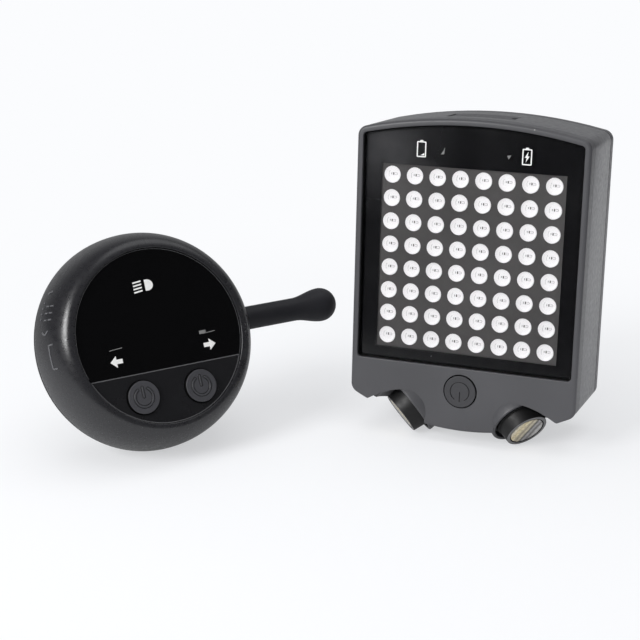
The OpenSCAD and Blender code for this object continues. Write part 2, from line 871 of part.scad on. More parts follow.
module remote_switches() {
    color("#2c2c2e") in_remote() each_key() {
        translate([-switch_side / 2, -switch_side / 2, remote_board_front])
            cube([switch_side, switch_side, key_switch_t]);
        translate([0, 0, remote_board_front])
            cylinder(h = key_plunger_top - remote_board_front, r = plunger_r);
    }
}

module remote_leds() {
    color("#d8c98a") in_remote()
        for (x = [-1, 1])
            translate([x * remote_led_x - chip_w / 2, remote_led_y - chip_h / 2, remote_board_front])
                cube([chip_w, chip_h, chip_t]);
}

module remote_screws() {
    color("#b9bbbd") in_remote()
        for (a = post_angles) rotate([0, 0, a]) translate([post_ring, 0, remote_board_back])
            screw(small_screw_r, remote_board_t + 3, small_head_r, small_head_t);
}

module battery_holder() {
    color("#1c1c1e") in_remote() translate([0, 0, remote_board_back - holder_h])
        difference() {
            cylinder(h = holder_h, r = cell_d / 2 + holder_wall);
            translate([0, 0, -1]) cylinder(h = holder_h + 2, r = cell_d / 2 + 0.1);
        }
}

module coin_cell() {
    color("#c8cacc") in_remote()
        translate([0, 0, cell_front - cell_t]) cylinder(h = cell_t, r = cell_d / 2);
}

module battery_contact() {
    reach = cell_d / 2 + holder_wall;
    color("#c9b037") in_remote()
        translate([-reach, -contact_w / 2, remote_board_back - holder_h - contact_t])
            cube([2 * reach, contact_w, contact_t]);
}

// Remote base: turns to unlock, and carries the handlebar saddle and the strap
module strap_slot() {
    translate([notch_in, strap_y - notch_w / 2, -far]) cube([far, notch_w, base_top + far + tiny]);
}

module remote_base() {
    color("#232325") in_remote() difference() {
        union() {
            rotate_extrude() polygon(concat([[0, base_top]], base_profile, [[0, -remote_d]]));
            ring_part(neck_r - neck_wall, neck_r, base_top - tiny, neck_top, 0, 360);
            for (k = [0:2])
                ring_part(neck_r - neck_wall, lug_r, groove_back + neck_gap, neck_top,
                          k * 120 - lug_span / 2, lug_span);
        }
        translate([0, 0, saddle_front + saddle_floor]) cylinder(h = far, r = cavity_r);
        translate([0, 0, -remote_d + saddle_d - bar_r]) rotate([90, 0, 0])
            cylinder(h = far, r = bar_r, center = true);
        ring_part(gasket_in - fit, gasket_out + fit, base_top - gasket_t, base_top + neck_gap, 0, 360);
        strap_slot();
        translate([-far - catch_in, strap_y - notch_w / 2, -far])
            cube([far, notch_w, far - remote_d + catch_d]);
        translate([pin_x, strap_y, -strap_d]) rotate([90, 0, 0])
            cylinder(h = pin_l, r = pin_r, center = true);
    }
}

module base_gasket() {
    color("#161617") in_remote() difference() {
        ring_part(gasket_in, gasket_out, base_top - gasket_t + fit, base_top + neck_gap / 2, 0, 360);
        strap_slot();
    }
}

module strap_pin() {
    color("#a9abad") in_remote() translate([pin_x, strap_y, -strap_d]) rotate([90, 0, 0])
        cylinder(h = pin_l, r = pin_r, center = true);
}

// Silicone strap with an eye on its pin and a bulb at its end
function strap_radius(x) =
    let (t = min(1, max(0, (x - bulb_x + bulb_swell) / bulb_swell)))
    strap_r + (bulb_r - strap_r) * t * t * (3 - 2 * t);

module strap() {
    swell_steps = 10;
    swell = [for (k = [0:swell_steps]) bulb_x - bulb_swell + bulb_swell * k / swell_steps];
    end = [for (a = [15:15:75]) [bulb_r * cos(a), bulb_x - pin_x + bulb_r * sin(a)]];
    outline = concat([[0, 0], [strap_r, 0]],
                     [for (x = swell) [strap_radius(x), x - pin_x]], end,
                     [[0, bulb_x - pin_x + bulb_r]]);
    color("#2b2b2d") in_remote() translate([pin_x, strap_y, -strap_d]) difference() {
        union() {
            rotate([0, 90, 0]) rotate_extrude() polygon(outline);
            rotate([90, 0, 0]) cylinder(h = 2 * strap_r, r = strap_r, center = true);
        }
        rotate([90, 0, 0]) cylinder(h = far, r = pin_r + pin_gap, center = true);
    }
}

front_frame();
rear_shell();
back_cover();
case_seal();
cover_screws();
window_panel();
led_mask();
matrix_leds();
indicator_leds();
led_board();
board_spacers();
control_board();
battery_pad();
battery_pack();
usb_socket();
usb_cover();
power_button();
button_switch();
laser_barrel_left();
laser_barrel_right();
laser_module_left();
laser_module_right();
laser_lens_left();
laser_lens_right();
remote_shell();
remote_window();
key_plate();
left_button();
right_button();
remote_board();
remote_switches();
remote_leds();
remote_screws();
battery_holder();
coin_cell();
battery_contact();
remote_base();
base_gasket();
strap_pin();
strap();
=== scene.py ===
from math import asin, atan2, cos, pi, radians, sin, sqrt, tan

import bpy
import numpy as np
from mathutils import Matrix, Vector


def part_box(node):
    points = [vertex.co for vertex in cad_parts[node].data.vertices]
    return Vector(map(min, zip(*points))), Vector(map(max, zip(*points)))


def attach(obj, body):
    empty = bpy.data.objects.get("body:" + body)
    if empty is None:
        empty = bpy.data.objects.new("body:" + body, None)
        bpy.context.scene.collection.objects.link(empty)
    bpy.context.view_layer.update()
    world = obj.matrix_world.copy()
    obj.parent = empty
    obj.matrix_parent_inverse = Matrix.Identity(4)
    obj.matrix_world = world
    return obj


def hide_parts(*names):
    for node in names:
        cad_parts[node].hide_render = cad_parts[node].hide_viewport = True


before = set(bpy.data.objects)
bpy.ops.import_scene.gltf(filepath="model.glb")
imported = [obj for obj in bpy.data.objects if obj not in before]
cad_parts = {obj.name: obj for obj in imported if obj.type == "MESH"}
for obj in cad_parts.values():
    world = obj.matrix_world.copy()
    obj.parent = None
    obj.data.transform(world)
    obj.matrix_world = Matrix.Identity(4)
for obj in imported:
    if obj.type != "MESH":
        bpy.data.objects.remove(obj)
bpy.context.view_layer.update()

# Front frame: one moulding of dark grey ABS with the rim round the window, the chin and the
# scoops in which the lasers sit. Its front edge is rounded, and a fine seam parts it from the
# rear shell behind it.
MM = 0.001
LEAN = radians(5)


def tipped(a):
    """Axes tipped by the angle a about x."""
    return np.array([[1, 0, 0], [0, cos(a), sin(a)], [0, -sin(a), cos(a)]])


light_axes = tipped(pi / 2 - LEAN)
mask_low, mask_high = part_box("led_mask")
MASK_MIDDLE_Z = -0.25
light_origin = np.array((mask_low + mask_high) / 2) / MM - MASK_MIDDLE_Z * light_axes[2]


def on_light(p):
    """Light's own millimetres (x right, y up the face, z out of the front) to the row frame."""
    return light_origin + np.asarray(p) @ light_axes


def arc(x, y, r, start, end, n):
    """n points of a circle's arc from one angle towards another, the end left out."""
    a = np.linspace(start, end, n, endpoint=False)
    return np.stack([x + r * np.cos(a), y + r * np.sin(a)], -1)


def run(a, b, n):
    """n points of a straight line from a towards b, the end left out."""
    t = np.linspace(0, 1, n, endpoint=False)[:, None]
    return np.array(a) * (1 - t) + np.array(b) * t


HALF_W, TOP, BOTTOM = 27.5, 33.2, 40.3
TOP_ARC, BOTTOM_ARC = 118.0, 57.0
TOP_CORNER, BOTTOM_CORNER, WINDOW_CORNER, LEAST_CORNER = 2.4, 2.6, 0.9, 0.4
RIM_W, WINDOW_LOW = 1.5, -24.9
SIDE_N, CORNER_N, ARC_N, ROUND_N = 36, 10, 56, 96


def upper_edge(w, r, c):
    """Top of an outline w half wide, an arc of radius r between two corners of radius c: the height of
    the corners' centres, and the three arcs from right to left."""
    x, middle = w - c, TOP - TOP_ARC
    y = middle + sqrt((r - c) ** 2 - x ** 2)
    a = atan2(y - middle, x)
    return y, [arc(x, y, c, 0, a, CORNER_N), arc(0, middle, r, a, pi - a, ARC_N),
               arc(-x, y, c, pi - a, pi, CORNER_N)]


def face_outline(inset):
    """Outline of the light's face moved in by inset: two sides, two arcs and four round corners."""
    w, r, c = HALF_W - inset, BOTTOM_ARC - inset, max(BOTTOM_CORNER - inset, LEAST_CORNER)
    top, upper = upper_edge(w, TOP_ARC - inset, max(TOP_CORNER - inset, LEAST_CORNER))
    x, middle = w - c, BOTTOM_ARC - BOTTOM
    y = middle - sqrt((r - c) ** 2 - x ** 2)
    a = atan2(middle - y, x)
    return np.concatenate([
        run((w, y), (w, top), SIDE_N), *upper, run((-w, top), (-w, y), SIDE_N),
        arc(-x, y, c, pi, pi + a, CORNER_N), arc(0, middle, r, pi + a, 2 * pi - a, ARC_N),
        arc(x, y, c, 2 * pi - a, 2 * pi, CORNER_N)])


def window_outline(inset):
    """Outline of the window opening moved in by inset: the same runs, with a straight lower edge."""
    w, c, low = HALF_W - RIM_W - inset, max(WINDOW_CORNER - inset, LEAST_CORNER), WINDOW_LOW + inset
    x, y = w - c, low + c
    top, upper = upper_edge(w, TOP_ARC - RIM_W - inset, c)
    return np.concatenate([
        run((w, y), (w, top), SIDE_N), *upper, run((-w, top), (-w, y), SIDE_N),
        arc(-x, y, c, pi, 1.5 * pi, CORNER_N), run((-x, low), (x, low), ARC_N),
        arc(x, y, c, 1.5 * pi, 2 * pi, CORNER_N)])


def level(outline, z):
    """A flat outline lifted to height z."""
    return np.column_stack([outline, np.full(len(outline), z)])


def rows_of(outline, points):
    """Rows of an outline function, one for each (offset, height) point of a wall's profile."""
    return [level(outline(offset), z) for offset, z in points]


def smooth(mesh, sharp=35):
    """Shades a mesh smooth but for edges sharper than the given angle."""
    mesh.shade_smooth()
    mesh.set_sharp_from_angle(angle=radians(sharp))


def skin(name, points, faces, sharp):
    """A mesh piece of points in millimetres, its faces turned outwards by the sign of its volume."""
    mesh = bpy.data.meshes.new(name)
    mesh.from_pydata(points * MM, [], faces)
    mesh.calc_loop_triangles()
    tri = np.empty(len(mesh.loop_triangles) * 3, np.int32)
    mesh.loop_triangles.foreach_get("vertices", tri)
    a, b, c = points[tri.reshape(-1, 3)].transpose(1, 0, 2)
    if np.einsum("ij,ij->", a - points[0], np.cross(b - points[0], c - points[0])) < 0:
        mesh.flip_normals()
    smooth(mesh, sharp)
    piece = bpy.data.objects.new(name, mesh)
    bpy.context.scene.collection.objects.link(piece)
    return piece


def grid_faces(m, n, wrap):
    """Faces over m closed rows of n points: point (i, j) joins (i + 1, j) and (i, j + 1). wrap joins
    the last row to the first; otherwise a flat face closes each end."""
    i, j = np.meshgrid(np.arange(m if wrap else m - 1), np.arange(n), indexing="ij")
    i2, j2 = (i + 1) % m, (j + 1) % n
    quads = np.stack([i * n + j, i * n + j2, i2 * n + j2, i2 * n + j], -1).reshape(-1, 4)
    ring = np.arange(n)
    ends = np.empty((0, n), int) if wrap else np.stack([ring[::-1], ring + (m - 1) * n])
    return quads, ends


def loft(name, rows, wrap=False, sharp=35):
    """Skin over rows of points, each row a closed loop."""
    quads, ends = grid_faces(*rows.shape[:2], wrap)
    return skin(name, rows.reshape(-1, 3), quads.tolist() + ends.tolist(), sharp)


def turned(profile, n=ROUND_N):
    """Surface of revolution: each profile point (r, z) is carried round the z axis in n steps."""
    profile = np.asarray(profile, float)
    a = np.linspace(0, 2 * pi, n, endpoint=False)
    r, z = profile[:, 0, None], profile[:, 1, None]
    return np.stack([r * np.cos(a), r * np.sin(a), z + 0 * a], -1)


def fillet(r, centre, start, end, n):
    """n points of a round in a profile, from one angle in degrees to another."""
    a = np.radians(np.linspace(start, end, n))
    return np.stack([centre[0] + r * np.cos(a), centre[1] + r * np.sin(a)], -1).tolist()


LASER_X, LASER_DROP, LASER_BACK = 13.3, 36.8, 3.4
TILT, SPLAY = radians(61), radians(47)


def swung(a):
    """Axes swung by the angle a about z."""
    return np.array([[cos(a), sin(a), 0], [-sin(a), cos(a), 0], [0, 0, 1]])


def on_laser(p, side):
    """A laser's own millimetres (z along the beam, origin in its cup's rim) to the row frame."""
    return on_light(p @ tipped(TILT) @ swung(side * SPLAY) + [side * LASER_X, -LASER_DROP, -LASER_BACK])


def carve(piece, cutter):
    """Takes a solid out of a piece, for good."""
    cut = piece.modifiers.new("cut", "BOOLEAN")
    cut.operation, cut.solver, cut.object = "DIFFERENCE", "EXACT", cutter
    bpy.context.view_layer.update()
    made = piece.evaluated_get(bpy.context.evaluated_depsgraph_get())
    mesh = bpy.data.meshes.new_from_object(made)
    piece.modifiers.clear()
    piece.data = mesh
    smooth(mesh)
    bpy.data.objects.remove(cutter)


def ease_edges(piece, width, angle=40):
    """Rounds a piece's sharp edges to a small moulded radius, width in millimetres."""
    ease = piece.modifiers.new("ease", "BEVEL")
    ease.width, ease.segments, ease.limit_method = width * MM, 3, "ANGLE"
    ease.angle_limit, ease.harden_normals = radians(angle), True


def linear(colour):
    """sRGB hex to linear red, green, blue and alpha 1."""
    c = np.array([int(colour[k:k + 2], 16) for k in (1, 3, 5)]) / 255
    c = np.where(c <= 0.04045, c / 12.92, ((c + 0.055) / 1.055) ** 2.4)
    return (*c.tolist(), 1.0)


def add(tree, kind, inputs=(), **own):
    """Adds a shader node with its own settings. Inputs go by name or number, or in order; each gets a
    value, or a link from a socket or from a node's first live output."""
    node = tree.nodes.new("ShaderNode" + kind)
    for key, value in own.items():
        setattr(node, key, value)
    for key, value in inputs.items() if isinstance(inputs, dict) else enumerate(inputs):
        if isinstance(value, bpy.types.Node):
            value = next(socket for socket in value.outputs if socket.enabled)
        if isinstance(value, bpy.types.NodeSocket):
            tree.links.new(value, node.inputs[key])
        else:
            node.inputs[key].default_value = value
    return node


def new_finish(name):
    """A new material: itself, its empty node tree and its Object coordinates."""
    finish = bpy.data.materials.new(name)
    finish.use_nodes = True
    finish.node_tree.nodes.clear()
    return finish, finish.node_tree, add(finish.node_tree, "TexCoord").outputs["Object"]


def per_mm(size):
    """Texture scale at which a pattern's features are about size millimetres wide."""
    return 1 / (2 * size * MM)


def dusted(tree, place, tint, spacing, share, pale):
    """Pale dust specks over a colour: one possible speck in each cell of the spacing, a small part
    of the cell wide, and only a share of the cells has one."""
    speck_width = 0.06
    cell = add(tree, "TexVoronoi", {"Vector": place, "Scale": per_mm(spacing / 2)})
    near = add(tree, "Math", (cell, speck_width), operation="LESS_THAN")
    rare = add(tree, "SeparateColor", {"Color": cell.outputs["Color"]})
    kept = add(tree, "Math", (rare, share), operation="LESS_THAN")
    speck = add(tree, "Math", (near, kept), operation="MULTIPLY")
    return add(tree, "Mix", {0: speck, 6: tint, 7: linear(pale)}, data_type="RGBA")


NOISE = (0.3, 0.7)


def moulded(name, colour, rough, grain, depth, dust=0.0, drift=0.07, shine=0.5):
    """Moulded plastic or rubber: the mould's spark-eroded grain, grain wide and depth high in
    millimetres, as bump, a slow drift in tone and a share of pale dust specks. The grain also
    swings the roughness, and shine is the level of the gloss."""
    drift_width, swing, relief_share, dust_spacing = 9.0, 0.06, 0.35, 3.0
    finish, tree, place = new_finish(name)
    fine = add(tree, "TexNoise", {"Vector": place, "Scale": per_mm(grain), "Detail": 3.0})
    slow = add(tree, "TexNoise", {"Vector": place, "Scale": per_mm(drift_width), "Detail": 2.0})
    tone = add(tree, "MapRange", (slow, *NOISE, 1 - drift, 1 + drift))
    tint = add(tree, "Mix", {0: 1.0, 6: linear(colour), 7: tone}, data_type="RGBA", blend_type="MULTIPLY")
    if dust:
        tint = dusted(tree, place, tint, dust_spacing, dust, "#8f8e8d")
    matt = add(tree, "MapRange", (fine, *NOISE, rough - swing, rough + swing))
    relief = add(tree, "Bump", {"Height": fine, "Strength": relief_share, "Distance": depth * MM})
    shader = add(tree, "BsdfPrincipled", {
        "Base Color": tint, "Roughness": matt, "Specular IOR Level": shine, "Normal": relief})
    add(tree, "OutputMaterial", (shader,))
    return finish


def coat(piece, finish):
    """Gives a piece one finish all over."""
    piece.data.materials.clear()
    piece.data.materials.append(finish)


def finished(piece, finish, body, slot, *nodes):
    """Coats a piece, fixes it to a body, and hides the CAD nodes that it stands for. slot is not used."""
    coat(piece, finish)
    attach(piece, body)
    if nodes:
        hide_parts(*nodes)


# Moulded ABS, satin: an even dark grey with a soft sheen at the edges. The grain is drawn at
# 0.5 mm, coarser than the real 0.1 mm, so that it shows.
housing_abs = moulded("housing_satin_ABS", "#4b4b4e", 0.42, 0.5, 0.012, dust=0.05)

RIM_Z, FRAME_BACK, EDGE, OPENING_EDGE = 2.0, -1.6, 0.7, 0.2
WINDOW_Z, LEDGE_Z, LEDGE_W = 1.5, 0.29, 1.2
FIT, TONGUE, TONGUE_IN, TONGUE_W, FRAME_EASE = 0.05, 0.6, 0.03, 1.5, 0.22
opening = [(-FIT, LEDGE_Z), *fillet(OPENING_EDGE, (-FIT - OPENING_EDGE, RIM_Z - OPENING_EDGE), 0, 90, 8)]
outside = [*fillet(EDGE, (EDGE, RIM_Z - EDGE), 90, 180, 8), (TONGUE_IN, FRAME_BACK - TONGUE),
           (TONGUE_W, FRAME_BACK - TONGUE), (TONGUE_W, FRAME_BACK)]
ledge = [(LEDGE_W, FRAME_BACK), (LEDGE_W, LEDGE_Z)]
frame_rows = (rows_of(window_outline, opening) + rows_of(face_outline, outside)
              + rows_of(window_outline, ledge))
front_frame = loft("front_frame_moulding", on_light(frame_rows), wrap=True)

CUP_R, CUP_LAP, CONE_L = 7.4, 0.02, 14.0
FLARE = tan(radians(5))
BALL_START, TIP = -89.9, 0.01


def scoop(side, r, mouth):
    """Cutter for a laser's room: half a ball of radius r, then a mouth of (r, z) points along the beam.
    It stops TIP short of its axis."""
    profile = fillet(r, (0, 0), BALL_START, 0, 20) + mouth + [(TIP, CONE_L)]
    return loft("scoop", on_laser(turned(profile), side))


def drill(radius, reach):
    """Rows of a round cutter along z, from -reach to reach."""
    return turned([(TIP, -reach), (radius, -reach), (radius, reach), (TIP, reach)])


for side in (-1, 1):
    carve(front_frame, scoop(side, CUP_R - CUP_LAP, [(CUP_R + CONE_L * FLARE, CONE_L)]))
BUTTON_DROP, BUTTON_HOLE_R, BUTTON_REACH = 30.5, 4.1, 9.0
carve(front_frame, loft("hole", on_light(drill(BUTTON_HOLE_R, BUTTON_REACH) + [0, -BUTTON_DROP, 0])))
ease_edges(front_frame, FRAME_EASE)
finished(front_frame, housing_abs, "light", "housing_plastic", "front_frame")

# Laser cups: the two round bosses of the chin, part of the same moulding. Each is half a
# ball round the laser's seat, with a recess that leaves a dark ring round the barrel.
SIDES = ((-1, "left"), (1, "right"))
RECESS_R, RECESS_D, SEAT_R, SEAT_D = 6.6, 1.2, 4.26, 5.6
CUP_RIM, CUP_EDGE_IN, CUP_EDGE_OUT = 0.55, 0.2, 0.25
cup_profile = [
    (SEAT_R, -SEAT_D), (SEAT_R, -RECESS_D), (RECESS_R, -RECESS_D),
    *fillet(CUP_EDGE_IN, (RECESS_R + CUP_EDGE_IN, CUP_RIM - CUP_EDGE_IN), 180, 90, 4),
    *fillet(CUP_EDGE_OUT, (CUP_R - CUP_EDGE_OUT, CUP_RIM - CUP_EDGE_OUT), 90, 0, 5),
    *fillet(CUP_R, (0, 0), 0, -50, 26)]
for side, where in SIDES:
    cup = loft("laser_cup_" + where, on_laser(turned(cup_profile), side), wrap=True)
    finished(cup, housing_abs, "light", "housing_plastic")

# Rear shell: the walls behind the frame, moulded in the same ABS. It is drawn a shade paler than the
# frame: painted light, for the brightness that its side walls take from the white backdrop. The lasers'
# scoops run on into its lower wall, and the top wall has the recess of the charging cover.
SHELL_FRONT, SHELL_BACK, WALL, SEAM_EDGE, SHELL_EASE = -1.8, -19.0, 2.4, 0.2, 0.15
CUP_GAP, BEAM_R = 0.3, 7.0
FLAP_X, FLAP_Z, FLAP_FLOOR, FLAP_OPEN = (-8.4, 7.6), (-12.4, -5.2), 31.4, 40.0
# Paler than the frame's ABS: painted light on the walls.
shell_abs_painted_light = moulded("shell_satin_ABS_painted_light", "#555558", 0.34, 0.5, 0.0006, dust=0.05)
wall_profile = [
    (WALL, SHELL_FRONT), *fillet(SEAM_EDGE, (SEAM_EDGE, SHELL_FRONT - SEAM_EDGE), 90, 180, 8)[::2],
    (0, SHELL_FRONT - SEAM_EDGE),
    *fillet(SEAM_EDGE, (SEAM_EDGE, SHELL_BACK + SEAM_EDGE), 180, 270, 8)[::2],
    (SEAM_EDGE, SHELL_BACK), (WALL, SHELL_BACK)]
rear_shell = loft("rear_shell_moulding", on_light(rows_of(face_outline, wall_profile)), wrap=True)
beam_mouth = [(CUP_R + CUP_GAP, CUP_GAP), (BEAM_R, CUP_GAP), (BEAM_R, CONE_L)]
for side in (-1, 1):
    carve(rear_shell, scoop(side, CUP_R + CUP_GAP, beam_mouth))


def rectangle(x0, x1, y0, y1):
    """The four corners of a rectangle between two x and two y."""
    return np.array([(x0, y0), (x1, y0), (x1, y1), (x0, y1)])


recess = [level(rectangle(*FLAP_X, *FLAP_Z), y)[:, [0, 2, 1]] for y in (FLAP_FLOOR, FLAP_OPEN)]
carve(rear_shell, loft("recess", on_light(recess)))
ease_edges(rear_shell, SHELL_EASE)
finished(rear_shell, shell_abs_painted_light, "light", "shell_plastic", "rear_shell")

# Back cover: a flat ABS lid with the rail for the bracket, held by four screws with a rubber
# seal under it. Its edge makes the second seam on the side wall.
KNIT = 0.002


def dress(finish, *names, ease=0.0):
    """Coats CAD nodes; ease, in millimetres, also knits their triangles and rounds their edges."""
    for name in names:
        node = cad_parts[name]
        coat(node, finish)
        if ease:
            knit = node.modifiers.new("knit", "WELD")
            knit.merge_threshold = KNIT * MM
            ease_edges(node, ease)


dress(moulded("cover_satin_ABS", "#4b4b4e", 0.4, 0.5, 0.001), "back_cover", ease=0.45)
seal_rubber = moulded("black_seal_rubber", "#222224", 0.7, 0.3, 0.02)
dress(seal_rubber, "case_seal", "base_gasket", "battery_pad")

# Screws, charging socket, coin cell and strap pin: zinc-plated steel, bluish grey with a dull
# shine. The screws close the light's cover and hold the remote's board.


def plain_metal(name, colour, rough, line):
    """Bare metal: fine drawn or turned lines, line millimetres apart and long in z, that swing its
    roughness and stand up a little."""
    stretch, swing, relief_share, height = 0.08, 0.12, 0.2, 0.01
    finish, tree, place = new_finish(name)
    drawn = add(tree, "Mapping", {"Vector": place, "Scale": (1.0, 1.0, stretch)})
    lines = add(tree, "TexNoise", {"Vector": drawn, "Scale": per_mm(line), "Detail": 2.0})
    matt = add(tree, "MapRange", (lines, 0, 1, rough - swing, rough + swing))
    relief = add(tree, "Bump", {"Height": lines, "Strength": relief_share, "Distance": height * MM})
    shader = add(tree, "BsdfPrincipled", {
        "Base Color": linear(colour), "Metallic": 1.0, "Roughness": matt, "Normal": relief})
    add(tree, "OutputMaterial", (shader,))
    return finish


steel = plain_metal("zinc_plated_steel", "#b6b8bb", 0.34, 0.25)
dress(steel, "cover_screws", "usb_socket", "remote_screws", "coin_cell", "strap_pin")

# Charging cover: a soft rubber flap, flush in the top wall, with a notch for a finger nail.
# Rubber is duller than the ABS round it.
dress(moulded("charging_cover_rubber", "#4d4d50", 0.5, 0.4, 0.02), "usb_cover", ease=0.12)

# Inside the light: two green boards on nylon spacers, a foil-wrapped cell on a foam pad, and
# the power switch. They show only where the case is open.


def circuit_board(name, mask, track):
    """Solder mask over copper tracks: thin straight lines, one pitch apart, show lighter and raised."""
    pitch, track_width, relief_share, height = 1.6, 0.12, 0.3, 0.05
    finish, tree, place = new_finish(name)
    bricks = add(tree, "TexBrick", {
        "Vector": place, "Color1": linear(mask), "Color2": linear(mask), "Mortar": linear(track),
        "Scale": 1.0, "Mortar Size": track_width * MM, "Brick Width": 3 * pitch * MM,
        "Row Height": pitch * MM})
    relief = add(tree, "Bump", {
        "Height": bricks.outputs["Fac"], "Strength": relief_share, "Distance": height * MM})
    shader = add(tree, "BsdfPrincipled", {"Base Color": bricks, "Roughness": 0.35, "Normal": relief})
    add(tree, "OutputMaterial", (shader,))
    return finish


solder_mask = circuit_board("green_solder_mask", "#1d4a2c", "#3c7a4c")
dress(solder_mask, "led_board", "control_board", "remote_board")
dress(moulded("spacer_nylon", "#d3d2ca", 0.5, 0.6, 0.01), "board_spacers")
dress(plain_metal("cell_wrap_foil", "#99a2ab", 0.4, 1.2), "battery_pack")
switch_nylon = moulded("switch_black_nylon", "#28282a", 0.45, 0.4, 0.01)
dress(switch_nylon, "button_switch", "remote_switches", "battery_holder")
brass = plain_metal("turned_brass", "#b58f45", 0.3, 0.2)
dress(brass, "laser_module_left", "laser_module_right", "battery_contact")

# Window: smoked acrylic, black round the LED field where its back is printed, clear over the
# field. It lies a little below the rim, and its polished face shows the room.
FIELD_X, FIELD_Y, WINDOW_BACK, PRINT_Z = (-21.77, 22.1), (-22.0, 21.85), 0.32, 0.45
SAWN_W, ACRYLIC_IOR = 0.3, 1.49
HAZE_AT, HAZE_REACH, HAZE_SHARE = (-24.0, 29.0, WINDOW_Z), (4.0, 22.0), (0.08, 0.006)


def field_ring(grow):
    """The LED field's rectangle, grown outwards, as the same runs as the window outline."""
    x0, x1, y0, y1 = FIELD_X[0] - grow, FIELD_X[1] + grow, FIELD_Y[0] - grow, FIELD_Y[1] + grow
    corners = [(x1, y0), (x1, y1), (x0, y1), (x0, y0)]
    runs = []
    for k, n in enumerate((SIDE_N, ARC_N, SIDE_N, ARC_N)):
        ahead = corners[(k + 1) % 4]
        runs += [run(corners[k], ahead, n), run(ahead, ahead, CORNER_N)]
    return np.concatenate(runs)


def polished(name, colour, rough, smear, dust, hazy=None):
    """Polished acrylic: a deep colour under a clear gloss, with faint smears in the polish and a
    few dust specks that catch the light. Round a hazy point lies a thin grey film of dust."""
    smear_width, wiped, smeared, dust_spacing = 5.0, 0.45, 0.75, 3.2
    finish, tree, place = new_finish(name)
    cloud = add(tree, "TexNoise", {"Vector": place, "Scale": per_mm(smear_width), "Detail": 4.0})
    wipe = add(tree, "MapRange", (cloud, wiped, smeared, rough, rough + smear))
    tint = dusted(tree, place, linear(colour), dust_spacing, dust, "#6d6d70")
    if hazy is not None:
        away = add(tree, "VectorMath", (place, tuple(hazy)), operation="DISTANCE")
        near = add(tree, "MapRange", (away, HAZE_REACH[0] * MM, HAZE_REACH[1] * MM, *HAZE_SHARE))
        film = add(tree, "Math", (near, cloud), operation="MULTIPLY")
        tint = add(tree, "Mix", {0: film, 6: tint, 7: linear("#d8d8dc")}, data_type="RGBA")
    shader = add(tree, "BsdfPrincipled", {"Base Color": tint, "Roughness": wipe, "IOR": ACRYLIC_IOR})
    add(tree, "OutputMaterial", (shader,))
    return finish


window_print = polished("black_window_print", "#0d0d0f", 0.12, 0.12, 0.12, on_light(HAZE_AT) * MM)
window_rows = (rows_of(field_ring, [(0, WINDOW_BACK), (0, PRINT_Z)])
               + rows_of(window_outline, [(SAWN_W, PRINT_Z), (SAWN_W, WINDOW_BACK)]))
window = loft("window_border", on_light(window_rows), wrap=True)
finished(window, window_print, "light", "window_acrylic", "window_panel")

# Edge of the window: the same acrylic where it was sawn. It is drawn dull and near black: painted shade,
# the dark line inside the rim where the rim's inner wall keeps the edge in shadow.
SAWN_IN, SAWN_EDGE = 0.22, 0.06
sawn_rows = rows_of(window_outline, [
    (SAWN_W, WINDOW_BACK), (SAWN_W, PRINT_Z), (SAWN_IN, WINDOW_Z - SAWN_EDGE), (SAWN_EDGE, WINDOW_Z),
    (0, WINDOW_Z - SAWN_EDGE), (0, WINDOW_BACK)])
# Near black and dull: painted shade along the window's edge.
sawn_painted_shade = moulded("sawn_acrylic_painted_shade", "#0a0a0b", 0.6, 0.4, 0.004, shine=0.1)
sawn_edge = loft("window_sawn_edge", on_light(sawn_rows), wrap=True)
finished(sawn_edge, sawn_painted_shade, "light", "window_acrylic")

# Clear acrylic over the print and the LEDs: all but invisible. Over the LED field it has the
# gloss of its polished face; over the border the print carries it.
PANE_FOOT, PANE_FACE, PANE_INSET, FIELD_STEP = WINDOW_Z - 0.05, WINDOW_Z - 0.01, 0.24, 0.02
HEAD_ON, PANE_ROUGH = 0.08, 0.06
clear_acrylic, tree, _ = new_finish("clear_acrylic")
gloss = add(tree, "BsdfGlossy", {"Roughness": PANE_ROUGH})
clear = add(tree, "BsdfTransparent")
# Share mirrored: its head-on share, plus the rest times the fifth power of the grazing angle.
facing = add(tree, "LayerWeight", {"Blend": 0.5}).outputs["Facing"]
graze = add(tree, "Math", (facing, 5.0), operation="POWER")
edge = add(tree, "Math", (graze, 1 - HEAD_ON, HEAD_ON), operation="MULTIPLY_ADD")
field = add(tree, "Attribute", attribute_name="field").outputs["Fac"]
shown = add(tree, "Math", (edge, field), operation="MULTIPLY")
pane = add(tree, "MixShader", (shown, clear, gloss))
add(tree, "OutputMaterial", (pane,))


def marked(piece, name, values):
    """Writes one number for each vertex of a piece, for its finish to read under that name."""
    mark = piece.data.attributes.new(name, "FLOAT", "POINT")
    mark.data.foreach_set("value", np.asarray(values, np.float32))


pane_rows = (rows_of(window_outline, [(PANE_INSET, PANE_FOOT), (PANE_INSET, PANE_FACE)])
             + rows_of(field_ring, [(FIELD_STEP, PANE_FACE), (0, PANE_FACE)]))
clear_face = loft("window_clear_face", on_light(pane_rows))
marked(clear_face, "field", np.repeat([0, 0, 0, 1], len(pane_rows[0])))
finished(clear_face, clear_acrylic, "light", "window_acrylic")

# LED mask: a punched sheet of dark warm-grey plastic that lies over the board, round every
# LED. It is matt, with a slight mottle.
dress(moulded("mask_matt_card", "#454343", 0.75, 0.6, 0.01, drift=0.14), "led_mask")

# Matrix LEDs: 64 packages with a round cup of clear silicone over white reflector plastic.
# Each cup has a bright lip and a shallow dish.
ROWS, PITCH, LED_R, LED_FOOT, LED_LIP, DISH, DISH_TIP = 8, 5.5, 2.0, -1.9, 0.03, -0.2, 0.02
spot = (np.arange(ROWS) - (ROWS - 1) / 2) * PITCH
centres = np.stack([*np.meshgrid(spot, spot), np.zeros((ROWS, ROWS))], -1).reshape(-1, 1, 1, 3)


